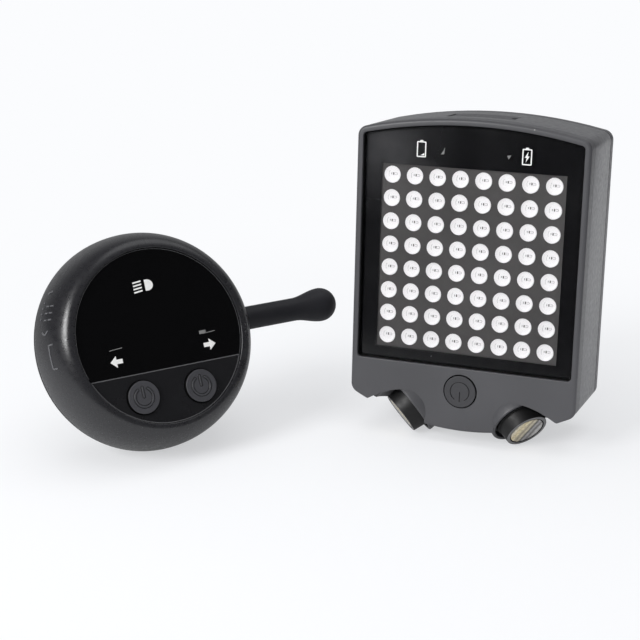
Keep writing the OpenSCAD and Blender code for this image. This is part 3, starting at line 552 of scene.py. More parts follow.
def repeated(name, rows, sharp=35):
    """Copies of one small closed skin in every LED's place, as a single mesh of separate shells."""
    m, n = rows.shape[:2]
    quads, ends = grid_faces(m, n, False)
    shift = (np.arange(len(centres)) * m * n)[:, None, None]
    faces = (quads + shift).reshape(-1, 4).tolist() + (ends + shift).reshape(-1, n).tolist()
    return skin(name, on_light((rows + centres).reshape(-1, 3)), faces, sharp)


led_profile = [(LED_R, LED_FOOT), (LED_R, -LED_LIP), (1.94, LED_LIP), (1.78, LED_LIP), (1.66, -0.06),
               (1.45, -0.15), (1.0, DISH), (DISH_TIP, DISH)]
led_white = moulded("led_white_reflector", "#f6f4f5", 0.4, 0.5, 0.004, drift=0.02)
led_cups = repeated("led_cups", turned(led_profile, 40), sharp=60)
finished(led_cups, led_white, "light", "led_white", "matrix_leds")

# Dies, bond pads and lead frame in the LED cups: a dark speck of silicon beside the middle, the
# pale pads round it and the curved split of the lead frame, all under the silicone.
CHIP_FOOT, CHIP_TOP = DISH - 0.02, DISH + 0.04
DIES = ((0.08, 0.36, -0.12, 0.46), (-0.32, -0.2, -0.05, 0.4))
PADS = ((0.5, 1.1, -0.1, -0.02), (0.5, 1.1, 0.34, 0.42), (1.08, 1.18, -0.02, 0.34))
SPLIT_AT, SPLIT_R, SPLIT_FROM, SPLIT_TO, SPLIT_IN = (0.3, 0.05), 1.28, radians(140), radians(215), 0.94


def flat_finish(name, colour, rough):
    """A thin print, pad or chip: one colour, with a fine mottle in tone and roughness."""
    mottle_width, tone_swing, rough_swing = 0.5, 0.12, 0.08
    finish, tree, place = new_finish(name)
    mottle = add(tree, "TexNoise", {"Vector": place, "Scale": per_mm(mottle_width), "Detail": 2.0})
    tone = add(tree, "MapRange", (mottle, 0, 1, 1 - tone_swing, 1 + tone_swing))
    tint = add(tree, "Mix", {0: 1.0, 6: linear(colour), 7: tone}, data_type="RGBA", blend_type="MULTIPLY")
    matt = add(tree, "MapRange", (mottle, 0, 1, rough - rough_swing, rough + rough_swing))
    shader = add(tree, "BsdfPrincipled", {"Base Color": tint, "Roughness": matt})
    add(tree, "OutputMaterial", (shader,))
    return finish


def chips(places):
    """Small blocks in every LED's dish, one for each (x0, x1, y0, y1)."""
    rows = [np.array([level(rectangle(*p), z) for z in (CHIP_FOOT, CHIP_TOP)]) for p in places]
    return [repeated("chip", pair) for pair in rows]


def joined(name, pieces):
    """Several finished skins as one piece."""
    with bpy.context.temp_override(active_object=pieces[0], selected_editable_objects=pieces):
        bpy.ops.object.join()
    pieces[0].name = name
    return pieces[0]


silicon = flat_finish("silicon_die", "#4b484a", 0.4)
finished(joined("led_dies", chips(DIES)), silicon, "light", "led_white")
split = arc(*SPLIT_AT, SPLIT_R, SPLIT_FROM, SPLIT_TO, 9)
split_rows = np.stack([level(split, CHIP_FOOT), level(split, CHIP_TOP),
                       level(split * SPLIT_IN, CHIP_TOP), level(split * SPLIT_IN, CHIP_FOOT)], 1)
lead_frames = joined("led_lead_frames", chips(PADS) + [repeated("split", split_rows)])
finished(lead_frames, flat_finish("lead_frame_silver", "#9a9799", 0.35), "light", "led_white")

# Battery signs: two white prints on the window, an empty battery and one that is charging,
# each beside the small LED that lights under it.
INK = 0.03
SIGN_W, SIGN_H, SIGN_LINE, SIGN_CORNER = 2.25, 3.65, 0.26, 0.12
LOW_SIGN, CHARGE_SIGN = (-11.9, 25.75), (12.95, 25.6)
print_white = flat_finish("white_screen_print", "#e9e9e7", 0.5)


def moved(place, *by):
    """A surface's own millimetres with the origin moved by x, y and height."""
    return lambda p: place(p + np.array(by))


def strip(name, path, width, low, high, place, closed=False):
    """A flat line: a width by (high - low) rectangle carried along a path of (x, y) points, and
    laid on a surface by place(x, y, height)."""
    path = np.asarray(path, float)
    ahead = np.roll(path, -1, 0) - np.roll(path, 1, 0) if closed else np.gradient(path, axis=0)
    side = np.stack([-ahead[:, 1], ahead[:, 0]], -1) / np.linalg.norm(ahead, axis=1)[:, None]
    left, right = path + side * width / 2, path - side * width / 2
    rows = np.stack([level(left, low), level(left, high), level(right, high), level(right, low)], 1)
    return loft(name, place(rows), wrap=closed)


def plate(name, outline, low, high, place):
    """A flat shape: one outline of (x, y) points between two heights, laid on a surface."""
    return loft(name, place(np.array([level(outline, low), level(outline, high)])))


on_window = moved(on_light, 0, 0, WINDOW_Z)


def battery_sign(middle, inside):
    """A battery's outline, a round-cornered rectangle, with its cap, a short bar, and what is in it."""
    w, h, c = (SIGN_W - SIGN_LINE) / 2, (SIGN_H - SIGN_LINE) / 2, SIGN_CORNER
    turns = enumerate(((1, 1), (-1, 1), (-1, -1), (1, -1)))
    case = np.concatenate([
        arc(x * (w - c), y * (h - c), c, k * pi / 2, (k + 1) * pi / 2, 5) for k, (x, y) in turns])
    cap = np.array([(-0.5, h + 0.05), (0.5, h + 0.05), (0.3, h + 0.42), (-0.3, h + 0.42)])
    return [strip("case", case + middle, SIGN_LINE, 0, INK, on_window, closed=True),
            plate("cap", cap + middle, 0, INK, on_window),
            plate("inside", np.array(inside) + middle, 0, INK, on_window)]


low_fill = [(-0.2, -1.4), (0.7, -1.4), (0.7, -0.85)]
bolt = [(0.3, 1.25), (-0.55, -0.14), (-0.07, -0.14), (-0.3, -1.2), (0.55, 0.2), (0.07, 0.2)]
signs = joined("battery_signs", battery_sign(LOW_SIGN, low_fill) + battery_sign(CHARGE_SIGN, bolt))
finished(signs, print_white, "light", "led_white")

# Indicator LEDs: small clear packages on the boards, cast in epoxy. Their grey glints are painted
# highlights: flat grey marks laid on the faces of the smoked windows.
GLINT, LOW_LED, CHARGE_LED = 0.012, (-6.7, 25.7), (8.8, 25.3)
# Grey marks on a window's face: painted glints of the LEDs under it.
painted_glint = flat_finish("painted_led_glint", "#7d7d7c", 0.3)
low_glint = np.array([(-0.5, -0.8), (0.25, -0.75), (0.4, 0.85), (0.1, 0.1)]) + LOW_LED
charge_glint = np.array([(-0.45, 0.3), (0.5, 0.45), (-0.05, -0.5)]) + CHARGE_LED
glints = [plate("glint", outline, -GLINT, GLINT, on_window) for outline in (low_glint, charge_glint)]
finished(joined("indicator_painted_glints", glints), painted_glint, "light", "indicator_led")
dress(flat_finish("clear_led_epoxy", "#d8d2b8", 0.25), "indicator_leds", "remote_leds")

# Power button: a round cap of dark grey rubber in the chin, flush, with the power sign engraved in its
# face, bar down. A dark groove parts it from the frame. The engraved sign and the outer part of the cap's
# rounded edge are drawn near black: painted shade.
CAP_R, CAP_FOOT, CAP_EDGE, CAP_RISE, POWER_SIGN_R = 3.84, -5.2, 0.2, 0.3, 2.3


def signed_cap(name, radius, foot, sign, half, bar_turn, place):
    """A round rubber cap, top at 0, with a power sign: an open ring of radius sign, and a bar in its gap
    towards bar_turn. Height = rounded edge, plus a rise within half of the sign's middle line, minus a
    fine groove where a point's distance from that line is half. The groove and the outer part of the
    rounded edge carry a mark for painted shade."""
    n, rings, line, sink, rise, gap = 180, 96, 0.16, 0.12, 0.1, radians(32)
    slope, bar_from, bar_to, shade_from = 0.08, 0.05, 1.05, 0.6
    bend = np.radians(np.linspace(12, 90, 6))
    flat = np.linspace(TIP, radius - CAP_EDGE, rings)
    r = np.concatenate([flat, radius - CAP_EDGE * (1 - np.sin(bend))])
    drop = np.concatenate([np.zeros(rings), CAP_EDGE * (1 - np.cos(bend))])
    rows = turned(np.stack([r, -drop], -1), n)
    x, y = rows[..., 0], rows[..., 1]
    across = x * cos(bar_turn) + y * sin(bar_turn)
    along = y * cos(bar_turn) - x * sin(bar_turn)
    ring = np.where(np.abs(np.arctan2(across, along)) > gap, np.abs(np.hypot(x, y) - sign),
                    np.hypot(np.abs(across) - sign * sin(gap), along - sign * cos(gap)))
    bar = np.hypot(across, along - np.clip(along, bar_from * sign, bar_to * sign))
    off = np.minimum(ring, bar)
    inside = np.clip((line / 2 - np.abs(off - half)) / slope + 0.5, 0, 1)
    rows[..., 2] += rise * (off < half) - sink * inside
    # The outer part of the rounded edge joins the mark: painted shade, the dark crescent round the cap.
    inside = np.maximum(inside, drop[:, None] > shade_from * CAP_EDGE)
    piece = loft(name, place(np.concatenate([rows, turned([(radius, foot)], n)])), sharp=60)
    marked(piece, "painted_shade", np.concatenate([inside.ravel(), np.ones(n)]))
    return piece


def cap_rubber(name, colour, dark):
    """Soft rubber: dull and finely grained, with painted shade in the engraved sign and on the cap's
    rounded edge.
    """
    finish = moulded(name, colour, 0.5, 0.35, 0.02)
    tree = finish.node_tree
    shader = next(node for node in tree.nodes if node.type == "BSDF_PRINCIPLED")
    painted_shade = add(tree, "Attribute", attribute_name="painted_shade").outputs["Fac"]
    own = shader.inputs["Base Color"].links[0].from_socket
    tint = add(tree, "Mix", {0: painted_shade, 6: own, 7: linear(dark)}, data_type="RGBA")
    tree.links.new(tint.outputs[2], shader.inputs["Base Color"])
    return finish


on_button = moved(on_light, 0, -BUTTON_DROP, RIM_Z + CAP_RISE)
power_cap = signed_cap("power_button_cap", CAP_R, CAP_FOOT, POWER_SIGN_R, 0.0, pi, on_button)
# Near black: the painted shade of the sign and of the cap's edge.
button_rubber = cap_rubber("button_grey_rubber", "#38383b", "#0a0a0b")
finished(power_cap, button_rubber, "power_button", "button_rubber", "power_button")

# Laser barrels: black moulded collars with a flange in the cup and a taper to the front. Their flat front
# edge is drawn paler grey round the lens.
FLANGE_R, FLANGE_TOP, FLANGE_EDGE, BARREL_FOOT_R = 5.8, 0.4, 0.15, 5.6
BARREL_R, BARREL_END, BARREL_EDGE, STEM_R, STEM_END = 5.2, 3.7, 0.14, 4.2, -5.1
LENS_R, LENS_SEAT, BORE = 4.39, 2.5, 3.06
RING_IN, RING_OUT, RING_FOOT, RING_EDGE, RIM_STEP = 4.42, 5.14, 3.5, 0.04, 0.01
barrel_profile = [
    (BORE, STEM_END), (STEM_R, STEM_END), (STEM_R, -RECESS_D), (FLANGE_R, -RECESS_D),
    *fillet(FLANGE_EDGE, (FLANGE_R - FLANGE_EDGE, FLANGE_TOP - FLANGE_EDGE), 0, 90, 4),
    (BARREL_FOOT_R, FLANGE_TOP), (BARREL_FOOT_R - 0.02, FLANGE_TOP + 0.05),
    *fillet(BARREL_EDGE, (BARREL_R - 0.16, BARREL_END - BARREL_EDGE), 15, 90, 4),
    (LENS_R, BARREL_END), (LENS_R, LENS_SEAT), (BORE, LENS_SEAT)]
ring_profile = [(RING_IN, RING_FOOT), (RING_OUT, RING_FOOT), (RING_OUT, BARREL_END - 2 * RIM_STEP),
                (RING_OUT - RING_EDGE, BARREL_END + RIM_STEP), (RING_IN, BARREL_END + RIM_STEP)]
barrel_black = moulded("barrel_black_ABS", "#0e0e0f", 0.5, 0.5, 0.01)
# A paler grey ring on the barrel's front edge.
rim_pale = flat_finish("barrel_pale_edge", "#6a6a6b", 0.4)
for side, where in SIDES:
    barrel = loft("laser_barrel_body_" + where, on_laser(turned(barrel_profile), side), wrap=True)
    finished(barrel, barrel_black, "light", "barrel_plastic", "laser_barrel_" + where)
    ring = loft("laser_barrel_rim_" + where, on_laser(turned(ring_profile), side), wrap=True)
    finished(ring, rim_pale, "light", "barrel_plastic")

# Laser lenses: clear discs moulded with fine ribs that fan the beam into a line. Their colour is painted
# on: the yellow module seen through the upper half, a painted reflection of the white floor in the lower
# half, and light and dark bands of painted reflection between.
RIB, RIB_H, LENS_TOP, LENS_FIT, LENS_N = 0.8, 0.03, 3.66, 0.26, 120
LENS_TURN = radians(12)
STREAK, STREAK_REACH, STREAK_TONE = 0.35, (0.35, 0.65), (0.7, 1.1)
# Colours across the lens: painted reflections, light and dark, with the yellow of the module seen
# through.
REFLECTION_BANDS = ((0.0, "#8d8a88"), (0.12, "#d5d4d2"), (0.24, "#6d6a69"), (0.33, "#b4b2b2"), (0.42, "#55524f"),
         (0.5, "#d8cfb4"), (0.6, "#a59a86"), (0.7, "#e3d7b2"), (0.8, "#d9c9a0"), (0.9, "#e8dfc6"),
         (1.0, "#9a9186"))
lens_painted_reflection, tree, place = new_finish("ribbed_acrylic_painted_reflection")
band_at = add(tree, "Attribute", attribute_name="across").outputs["Fac"]
reflection_ramp = add(tree, "ValToRGB", {"Fac": band_at})
reflection_ramp.color_ramp.interpolation = "LINEAR"
for k, (at, colour) in enumerate(REFLECTION_BANDS):
    stop = reflection_ramp.color_ramp.elements[k] if k < 2 else reflection_ramp.color_ramp.elements.new(at)
    stop.position = at
    stop.color = linear(colour)
streak = add(tree, "TexNoise", {"Vector": place, "Scale": per_mm(STREAK), "Detail": 2.0})
patch = add(tree, "MapRange", (streak, *STREAK_REACH, *STREAK_TONE))
tint = add(tree, "Mix", {0: 1.0, 6: reflection_ramp, 7: patch}, data_type="RGBA", blend_type="MULTIPLY")
shader = add(tree, "BsdfPrincipled", {"Base Color": tint, "Roughness": 0.05, "IOR": ACRYLIC_IOR})
add(tree, "OutputMaterial", (shader,))


def lens_skin(name, side):
    """A disc with a ribbed top: height = LENS_TOP less RIB_H, plus RIB_H times the rib's half wave."""
    radii = np.concatenate([np.linspace(TIP, LENS_R - 0.5, 40), [LENS_R - 0.36, LENS_R - LENS_FIT]])
    rows = turned(np.stack([radii, np.full(len(radii), LENS_TOP)], -1), LENS_N)
    across = rows[..., 1] * cos(LENS_TURN) - rows[..., 0] * sin(LENS_TURN)
    rows[..., 2] += RIB_H * np.abs(np.cos(pi * across / RIB)) - RIB_H
    foot = turned([(LENS_R - LENS_FIT, LENS_SEAT + 0.02)], LENS_N)
    piece = loft(name, on_laser(np.concatenate([rows, foot]), side), sharp=70)
    part = np.clip(across / (2 * LENS_R) + 0.5, 0, 1)
    marked(piece, "across", np.concatenate([part.ravel(), np.zeros(LENS_N)]))
    return piece


for side, where in SIDES:
    lens = lens_skin("laser_lens_face_" + where, side)
    finished(lens, lens_painted_reflection, "light", "lens_acrylic", "laser_lens_" + where)

# Remote shell: a bun-shaped moulding of black ABS, turned in form, with a fine lip round its
# face and a full shoulder. Its satin skin shows soft lights and a little dust.
LEAN_BACK, TURN = radians(24.1), radians(52.5)
remote_axes = tipped(pi / 2 - LEAN_BACK) @ swung(TURN)
cell_low, cell_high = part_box("coin_cell")
CELL_MIDDLE_Z = -9.2
remote_origin = np.array((cell_low + cell_high) / 2) / MM - CELL_MIDDLE_Z * remote_axes[2]


def on_remote(p):
    """Remote's own millimetres (x right, y up its face, z out of its face) to the row frame."""
    return remote_origin + np.asarray(p) @ remote_axes


FACE_R, LIP_R, LIP_H, LIP_EDGE, POCKET_R = 20.3, 20.9, 0.4, 0.18, 20.45
BELLY_R, BELLY_D, BACK_ROUND, SEAM_D, SEAM_R = 25.8, 12.2, 8.0, 13.0, 25.5
PLATE_BACK, PLATE_TOP, DECK_BACK, NECK_BORE, DECK_TIP = -1.45, -0.15, -2.75, 21.6, 0.02


def flank_radius(d):
    """Shell's radius at depth d behind its face: a quarter ellipse from lip to belly, then a round."""
    part = (d + LIP_H) / (BELLY_D + LIP_H)
    front = LIP_R + (BELLY_R - LIP_R) * np.sqrt(np.clip(1 - (1 - part) ** 2, 0, 1))
    behind = BELLY_R - BACK_ROUND + np.sqrt(np.clip(BACK_ROUND ** 2 - (d - BELLY_D) ** 2, 0, None))
    return np.where(d < BELLY_D, front, behind)


depths = (BELLY_D + LIP_H) * (1 - np.cos(np.linspace(0.12, pi / 2, 40))) - LIP_H
flank = np.stack([flank_radius(depths), -depths], -1).tolist()
seam_start, seam_bend = SEAM_D - 0.2, SEAM_D - 0.05
shell_profile = [
    (DECK_TIP, DECK_BACK), (DECK_TIP, PLATE_BACK), (POCKET_R, PLATE_BACK), (POCKET_R, LIP_H - LIP_EDGE),
    *fillet(LIP_EDGE, (POCKET_R + LIP_EDGE, LIP_H - LIP_EDGE), 180, 90, 4), (LIP_R, LIP_H), *flank,
    (flank_radius(seam_start), -seam_start), (flank_radius(seam_bend) - 0.1, -seam_bend),
    (SEAM_R, -SEAM_D), (NECK_BORE, -SEAM_D), (NECK_BORE, DECK_BACK)]
remote_black = moulded("remote_satin_black_ABS", "#232326", 0.3, 0.5, 0.001, dust=0.1, shine=0.75)
remote_bun = loft("remote_bun", on_remote(turned(shell_profile, 160)), wrap=True)
finished(remote_bun, remote_black, "remote", "remote_plastic", "remote_shell")

# Face window and key plate: two polished acrylic segments that fill the face, the upper one gloss black,
# the lower one a shade greyer. Their cut edges show as a thin pale line, partly a painted highlight.
CHORD, CHORD_GAP, PLATE_EDGE, PLATE_EASE, PLATE_SEAT = -7.7, 0.06, 0.18, 0.12, 0.01
KEY_X, KEY_DROP, KEY_HOLE_R, KEY_REACH = 7.2, 13.3, 4.0, 6.0
FACE_N, CHORD_N = 120, 40


def segment(inset, upper):
    """A circle's part above or below the chord, moved in by inset: the arc, then the straight chord."""
    r = FACE_R - inset
    y = CHORD + (CHORD_GAP + inset) * (1 if upper else -1)
    a = asin(y / r)
    start, end = (a, pi - a) if upper else (pi - a, 2 * pi + a)
    round_edge = arc(0, 0, r, start, end, FACE_N)
    return np.concatenate([round_edge, run((r * cos(end), y), (r * cos(start), y), CHORD_N)])


def face_plate(name, upper):
    """A face segment with its front edge cut to a small chamfer."""
    rows = rows_of(lambda inset: segment(inset, upper), [
        (0, PLATE_BACK + PLATE_SEAT), (0, PLATE_TOP - PLATE_EDGE), (PLATE_EDGE, PLATE_TOP)])
    return loft(name, on_remote(rows))


face_black = polished("face_gloss_black_acrylic", "#060607", 0.05, 0.08, 0.1)
finished(face_plate("face_window", True), face_black, "remote", "remote_gloss", "remote_window")
key_plate = face_plate("key_plate_segment", False)
for side in (-1, 1):
    carve(key_plate, loft("hole", on_remote(drill(KEY_HOLE_R, KEY_REACH) + [side * KEY_X, -KEY_DROP, 0])))
ease_edges(key_plate, PLATE_EASE)
key_satin = polished("key_plate_satin_acrylic", "#1b1b1d", 0.22, 0.1, 0.1)
finished(key_plate, key_satin, "remote", "key_plastic", "key_plate")

# Cut edges of the two segments: bare acrylic, sawn and left unpolished. They are drawn as thin strips
# paler than the lacquered faces: partly the edge's own tone, partly a painted highlight for the light
# that the edges catch.
EDGE_LINE, EDGE_FOOT, EDGE_TOP = 0.22, PLATE_TOP - 0.05, PLATE_TOP + 0.01
# Pale grey strips: the sawn edge's tone with a painted highlight.
cut_edge_and_highlight = flat_finish("cut_acrylic_edge_and_highlight", "#58585a", 0.4)
key_edge, rim_arc = segment(EDGE_LINE / 2, False), segment(EDGE_LINE / 2, True)[:FACE_N]
edges = [strip("edge", key_edge, EDGE_LINE, EDGE_FOOT, EDGE_TOP, on_remote, closed=True),
         strip("edge", rim_arc, EDGE_LINE / 2, EDGE_FOOT, EDGE_TOP, on_remote)]
finished(joined("face_cut_edges_and_highlight", edges), cut_edge_and_highlight, "remote", "remote_gloss")

# Turn buttons: round caps of grey rubber that stand a little proud of the key plate, with the same
# engraved sign as the power button, bar up, and the same painted shade in the sign and on the rounded
# edge.
KEY_CAP_R, KEY_RISE, KEY_FOOT, KEY_SIGN_R, KEY_SIGN_HALF = 3.8, 0.55, -3.8, 2.2, 0.28
# Near black: the painted shade of the sign and of the cap's edge.
key_rubber = cap_rubber("turn_button_grey_rubber", "#3c3c40", "#0c0c0d")
for side, where in SIDES:
    on_key = moved(on_remote, side * KEY_X, -KEY_DROP, KEY_RISE)
    key = signed_cap(where + "_button_cap", KEY_CAP_R, KEY_FOOT, KEY_SIGN_R, KEY_SIGN_HALF, 0.0, on_key)
    finished(key, key_rubber, where + "_button", "key_rubber", where + "_button")

# Face prints: white direction arrows over the two buttons and a small lamp with rays at the top,
# screen-printed on the face window, and painted glints of two LEDs under it: grey marks on the face for
# their highlights.
ARROW_X, ARROW_Y, LAMP, LAMP_R = 11.7, -4.2, np.array((-0.6, 11.9)), 1.3
RAY_W, RAY_Y, BAR_W, BAR_AT, CHIP_AT = 0.34, (-1.1, -0.35, 0.4, 1.15), 0.16, (0.4, -1.5), (10.6, -1.1)
arrow = np.array([
    (-1.5, 0), (0.05, 1.35), (0.05, 0.5), (1.5, 0.5), (1.5, -0.5), (0.05, -0.5), (0.05, -1.35)])
on_face = moved(on_remote, 0, 0, PLATE_TOP)
prints = [plate("arrow", arrow * (-s, 1) + (s * ARROW_X, ARROW_Y), 0, INK, on_face) for s in (-1, 1)]
lamp = np.concatenate([arc(0, 0, LAMP_R, -pi / 2, pi / 2, 16) * (1.15, 1),
                       [(0, LAMP_R), (-0.5, LAMP_R), (-0.5, -LAMP_R), (0, -LAMP_R)]])
prints.append(plate("lamp", lamp + LAMP, 0, INK, on_face))
for y in RAY_Y:
    prints.append(strip("ray", [LAMP + (-1.3, y), LAMP + (-3.4, y - 0.25)], RAY_W, 0, INK, on_face))
finished(joined("face_prints", prints), print_white, "remote", "led_white")
# Painted glints: grey bars and a small block on the face, the LEDs' highlights.
bar = np.array([(-1.6, 0.0), (1.6, 0.25)]) + BAR_AT
dabs = [strip("bar", bar + (side * ARROW_X, 0), BAR_W, -GLINT, GLINT, on_face) for side in (-1, 1)]
dabs.append(plate("chip", rectangle(-0.9, 0.8, -0.4, 0.4) + CHIP_AT, -GLINT, GLINT, on_face))
finished(joined("face_painted_glints", dabs), painted_glint, "remote", "indicator_led")

# Turn marks: raised lines on the shell's left flank, moulded with it, that show which way the base turns:
# a line with end ticks, an arrowhead and rows of short ticks. They are drawn a paler grey than the shell:
# a painted highlight on their raised tops.
MARK_W, MARK_H, MARK_FOOT, DEGREE = 0.35, 0.12, -0.05, 0.44


def on_flank(p):
    """Angle about the remote's axis (degrees), depth behind the face and height off the flank."""
    a, d = np.radians(p[..., 0]), p[..., 1]
    r = flank_radius(d) + p[..., 2]
    return on_remote(np.stack([r * np.cos(a), r * np.sin(a), -d], -1))


def flank_line(points, steps=12):
    """A raised line along straight runs between (angle, depth) points. It is drawn in millimetres,
    an angle's degree being DEGREE wide here, and then bent round the flank."""
    points = np.array(points, float)
    at = np.linspace(0, len(points) - 1, steps)
    path = np.stack([np.interp(at, np.arange(len(points)), points[:, k]) for k in (0, 1)], -1)
    return strip("line", path * (DEGREE, 1), MARK_W, MARK_FOOT, MARK_H,
                 lambda p: on_flank(p / (DEGREE, 1, 1)))


marks = [flank_line([(173.9, 3.6), (174.0, 5.1), (186.6, 5.1), (186.8, 3.6)], steps=40),
         flank_line([(166.2, 5.2), (168.4, 6.4), (166.6, 7.7)], steps=16),
         flank_line([(144.5, 6.7), (145.5, 8.8)])]
marks += [flank_line([(a, 9.0), (a + 1.2, 9.0)]) for a in (150.0, 153.0, 156.0, 159.0)]
marks += [flank_line([(a, d), (a, d + 1.1)]) for a in (153.0, 156.8, 160.5) for d in (4.3, 6.1)]
# Paler grey: painted highlight on the marks' raised tops.
mark_painted_highlight = flat_finish("mark_ABS_painted_highlight", "#5c5c5f", 0.4)
finished(joined("turn_marks", marks), mark_painted_highlight, "remote", "remote_plastic")

# Remote base: the twist-off back in the same black ABS, with the saddle for the handlebar and
# the slot of the strap.
dress(moulded("base_satin_black_ABS", "#1f1f21", 0.38, 0.5, 0.004), "remote_base")

# Strap: moulded silicone, round, on a steel pin in the base, with a bulb at its end that
# hooks into the base. Silicone holds dust and shines dully.
PIN, STRAP_R, BULB_R, BULB_X, SWELL = np.array((21.0, 1.3, -16.3)), 2.9, 4.25, 51.3, 7.7
PIN_HOLE, EYE_EDGE, STRAP_START, STRAP_N = 1.06, 0.3, 0.3, 64
silicone = moulded("strap_silicone", "#2b2b2f", 0.5, 0.4, 0.02, dust=0.35, shine=0.25)
# Along the strap the radius swells from STRAP_R to BULB_R by the smooth step t * t * (3 - 2 * t).
swell_at = np.concatenate([np.linspace(STRAP_START, BULB_X - SWELL - PIN[0], 8)[:-1],
                           np.linspace(BULB_X - SWELL, BULB_X, 24) - PIN[0]])
t = np.clip((swell_at + PIN[0] - BULB_X + SWELL) / SWELL, 0, 1)
strap_profile = np.stack([STRAP_R + (BULB_R - STRAP_R) * t * t * (3 - 2 * t), swell_at], -1).tolist()
strap_profile += fillet(BULB_R, (0, BULB_X - PIN[0]), 6, 89, 16)
strap_rows = turned(strap_profile, STRAP_N)[..., [2, 1, 0]] * (1, 1, -1)
eye_in = STRAP_R - EYE_EDGE
eye_profile = [(PIN_HOLE, -STRAP_R), (PIN_HOLE, STRAP_R), *fillet(EYE_EDGE, (eye_in, eye_in), 90, 0, 4),
               *fillet(EYE_EDGE, (eye_in, -eye_in), 0, -90, 4)]
eye = loft("eye", on_remote(turned(eye_profile, STRAP_N)[..., [0, 2, 1]] + PIN), wrap=True)
strap = joined("silicone_strap", [loft("strap_body", on_remote(strap_rows + PIN)), eye])
finished(strap, silicone, "strap", "strap_silicone", "strap")

# Floor and backdrop: a wide pale sheet that fades into the white behind, and keeps the soft
# shadows. The sheet ends in front, so that polished faces mirror the dark room there. The
# reaches are in metres.
FLOOR_R, FLOOR_Z, PAPER, WHITE = 3000.0, (-4.0, -0.05), "#f6f7f9", "#fbfcfe"
TO_CAMERA, DARK_ROOM, MIRRORED, MIRRORED_RIGHT = (0.361, -0.879, 0.311), 0.04, 0.4, 0.95
FADE_REACH, FADE_LEAST, BRIGHT_REACH = (0.06, 0.2), 0.56, (0.04, 0.09)
FRONT_END, RIGHT_END = (0.06, 0.1), (0.16, 0.24)
floor = loft("floor", np.array([level(arc(0, 0, FLOOR_R, 0, 2 * pi, ROUND_N), z) for z in FLOOR_Z]))
floor_white, tree, place = new_finish("floor_white_sheet")
seen = add(tree, "LightPath").outputs
shown = add(tree, "Math", (seen["Is Camera Ray"], seen["Is Glossy Ray"]), operation="MAXIMUM")
shown = add(tree, "Math", (shown, seen["Is Transmission Ray"]), operation="MAXIMUM")
away = add(tree, "VectorMath", (place,), operation="LENGTH")
fade = add(tree, "MapRange", (away, *FADE_REACH, FADE_LEAST, 1.0), interpolation_type="SMOOTHSTEP")
blank = add(tree, "Math", (fade, shown), operation="MULTIPLY")
sheet = add(tree, "BsdfDiffuse", {"Color": linear(PAPER)})
to_right = add(tree, "SeparateXYZ", (place,))
mirrored = add(tree, "MapRange", (to_right, *BRIGHT_REACH, MIRRORED, MIRRORED_RIGHT))
bright = add(tree, "Mix", {0: seen["Is Glossy Ray"], 2: 1.0, 3: mirrored})
glow = add(tree, "Emission", {"Color": linear(WHITE), "Strength": bright})
mix = add(tree, "MixShader", (blank, sheet, glow))
forward = add(tree, "VectorMath", (place, TO_CAMERA), operation="DOT_PRODUCT")
front = add(tree, "MapRange", (forward, *FRONT_END))
right = add(tree, "MapRange", (to_right, *RIGHT_END))
outer = add(tree, "Math", (front, right), operation="MAXIMUM")
past = add(tree, "Math", (outer, seen["Is Glossy Ray"]), operation="MULTIPLY")
unlit = add(tree, "Emission", {"Color": linear(WHITE), "Strength": DARK_ROOM})
whole = add(tree, "MixShader", (past, mix, unlit))
add(tree, "OutputMaterial", (whole,))
coat(floor, floor_white)

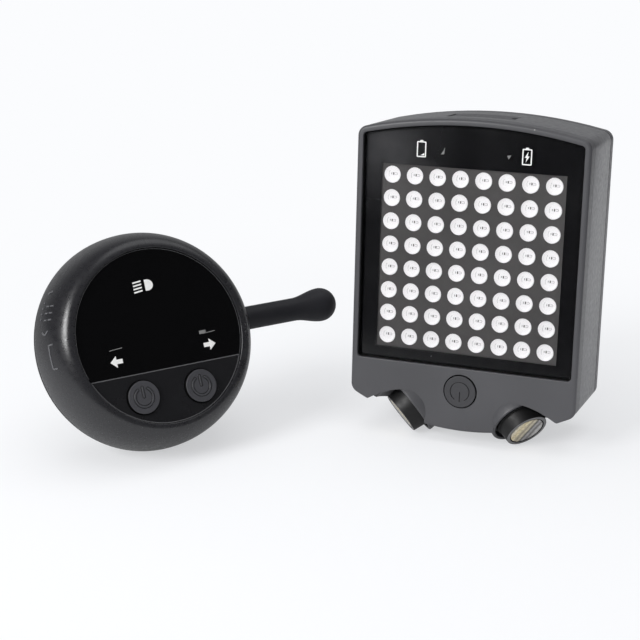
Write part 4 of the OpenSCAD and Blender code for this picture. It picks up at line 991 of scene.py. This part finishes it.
# Room: white to the eye and soft grey as light. Mirrored, the backdrop and a patch of the ceiling
# above it are white, and the rest of the room is dark.
BACKDROP, BACKDROP_REACH = (-0.38, 0.925, 0.0), (0.4, 0.9)
CEILING, CEILING_REACH, CEILING_LEVEL = (0.33, 0.27, 0.905), (0.84, 0.92), 1.0
DIFFUSE_LEVEL = 0.46
scene = bpy.context.scene
scene.view_settings.view_transform = "Standard"
room = bpy.data.worlds.new("studio_room")
scene.world = room
room.use_nodes = True
tree = room.node_tree
tree.nodes.clear()
toward = add(tree, "TexCoord").outputs["Generated"]
behind = add(tree, "VectorMath", (toward, BACKDROP), operation="DOT_PRODUCT")
backdrop = add(tree, "MapRange", (behind, *BACKDROP_REACH, DARK_ROOM, MIRRORED),
               interpolation_type="SMOOTHSTEP")
above = add(tree, "VectorMath", (toward, CEILING), operation="DOT_PRODUCT")
ceiling = add(tree, "MapRange", (above, *CEILING_REACH, 0.0, CEILING_LEVEL),
              interpolation_type="SMOOTHSTEP")
mirror = add(tree, "Math", (backdrop, ceiling), operation="MAXIMUM")
seen = add(tree, "LightPath").outputs
eye_ray = add(tree, "Math", (seen["Is Camera Ray"], seen["Is Transmission Ray"]), operation="MAXIMUM")
lit = add(tree, "Mix", {0: seen["Is Glossy Ray"], 2: DIFFUSE_LEVEL, 3: mirror})
strength = add(tree, "Mix", {0: eye_ray, 2: lit, 3: 1.0})
back = add(tree, "Background", {"Color": linear(WHITE), "Strength": strength})
add(tree, "OutputWorld", (back,))

# Lights: a broad softbox in front, left of the camera, that draws the shoulder's highlight and
# sends the shadows back, and a soft one above.


def softbox(name, place, target, width, height, power, mirrored=True):
    """A rectangular lamp that faces a target, all in metres and watts; polished faces may mirror it."""
    lamp = bpy.data.lights.new(name, "AREA")
    lamp.shape, lamp.size, lamp.size_y, lamp.energy = "RECTANGLE", width, height, power
    piece = bpy.data.objects.new(name, lamp)
    piece.location = place
    piece.rotation_euler = (Vector(target) - Vector(place)).to_track_quat("-Z", "Y").to_euler()
    piece.visible_glossy = mirrored
    scene.collection.objects.link(piece)


softbox("key_front_left", (-0.36, -0.7, 0.46), (0, 0, 0.04), 0.34, 0.44, 5.6)
softbox("top", (0.0, 0.0, 0.9), (0, 0, 0), 1.0, 1.0, 3.2, mirrored=False)

# Camera: a long lens from the front right and a little above, as in the photograph. Its place
# and axes were solved from the grid of LED faces.
CAMERA = light_origin + (95.48, -323.584, 96.214)
camera_axes = np.array([
    [0.92643, 0.376297, -0.010848], [-0.10739, 0.291786, 0.950436], [0.36082, -0.879355, 0.310733]])
view = bpy.data.cameras.new("camera")
view.lens, view.sensor_width, view.sensor_fit = 84.7, 36.0, "HORIZONTAL"
camera = bpy.data.objects.new("camera", view)
camera.rotation_euler = Matrix(camera_axes.T.tolist()).to_euler()
camera.location = CAMERA * MM
scene.collection.objects.link(camera)
scene.camera = camera
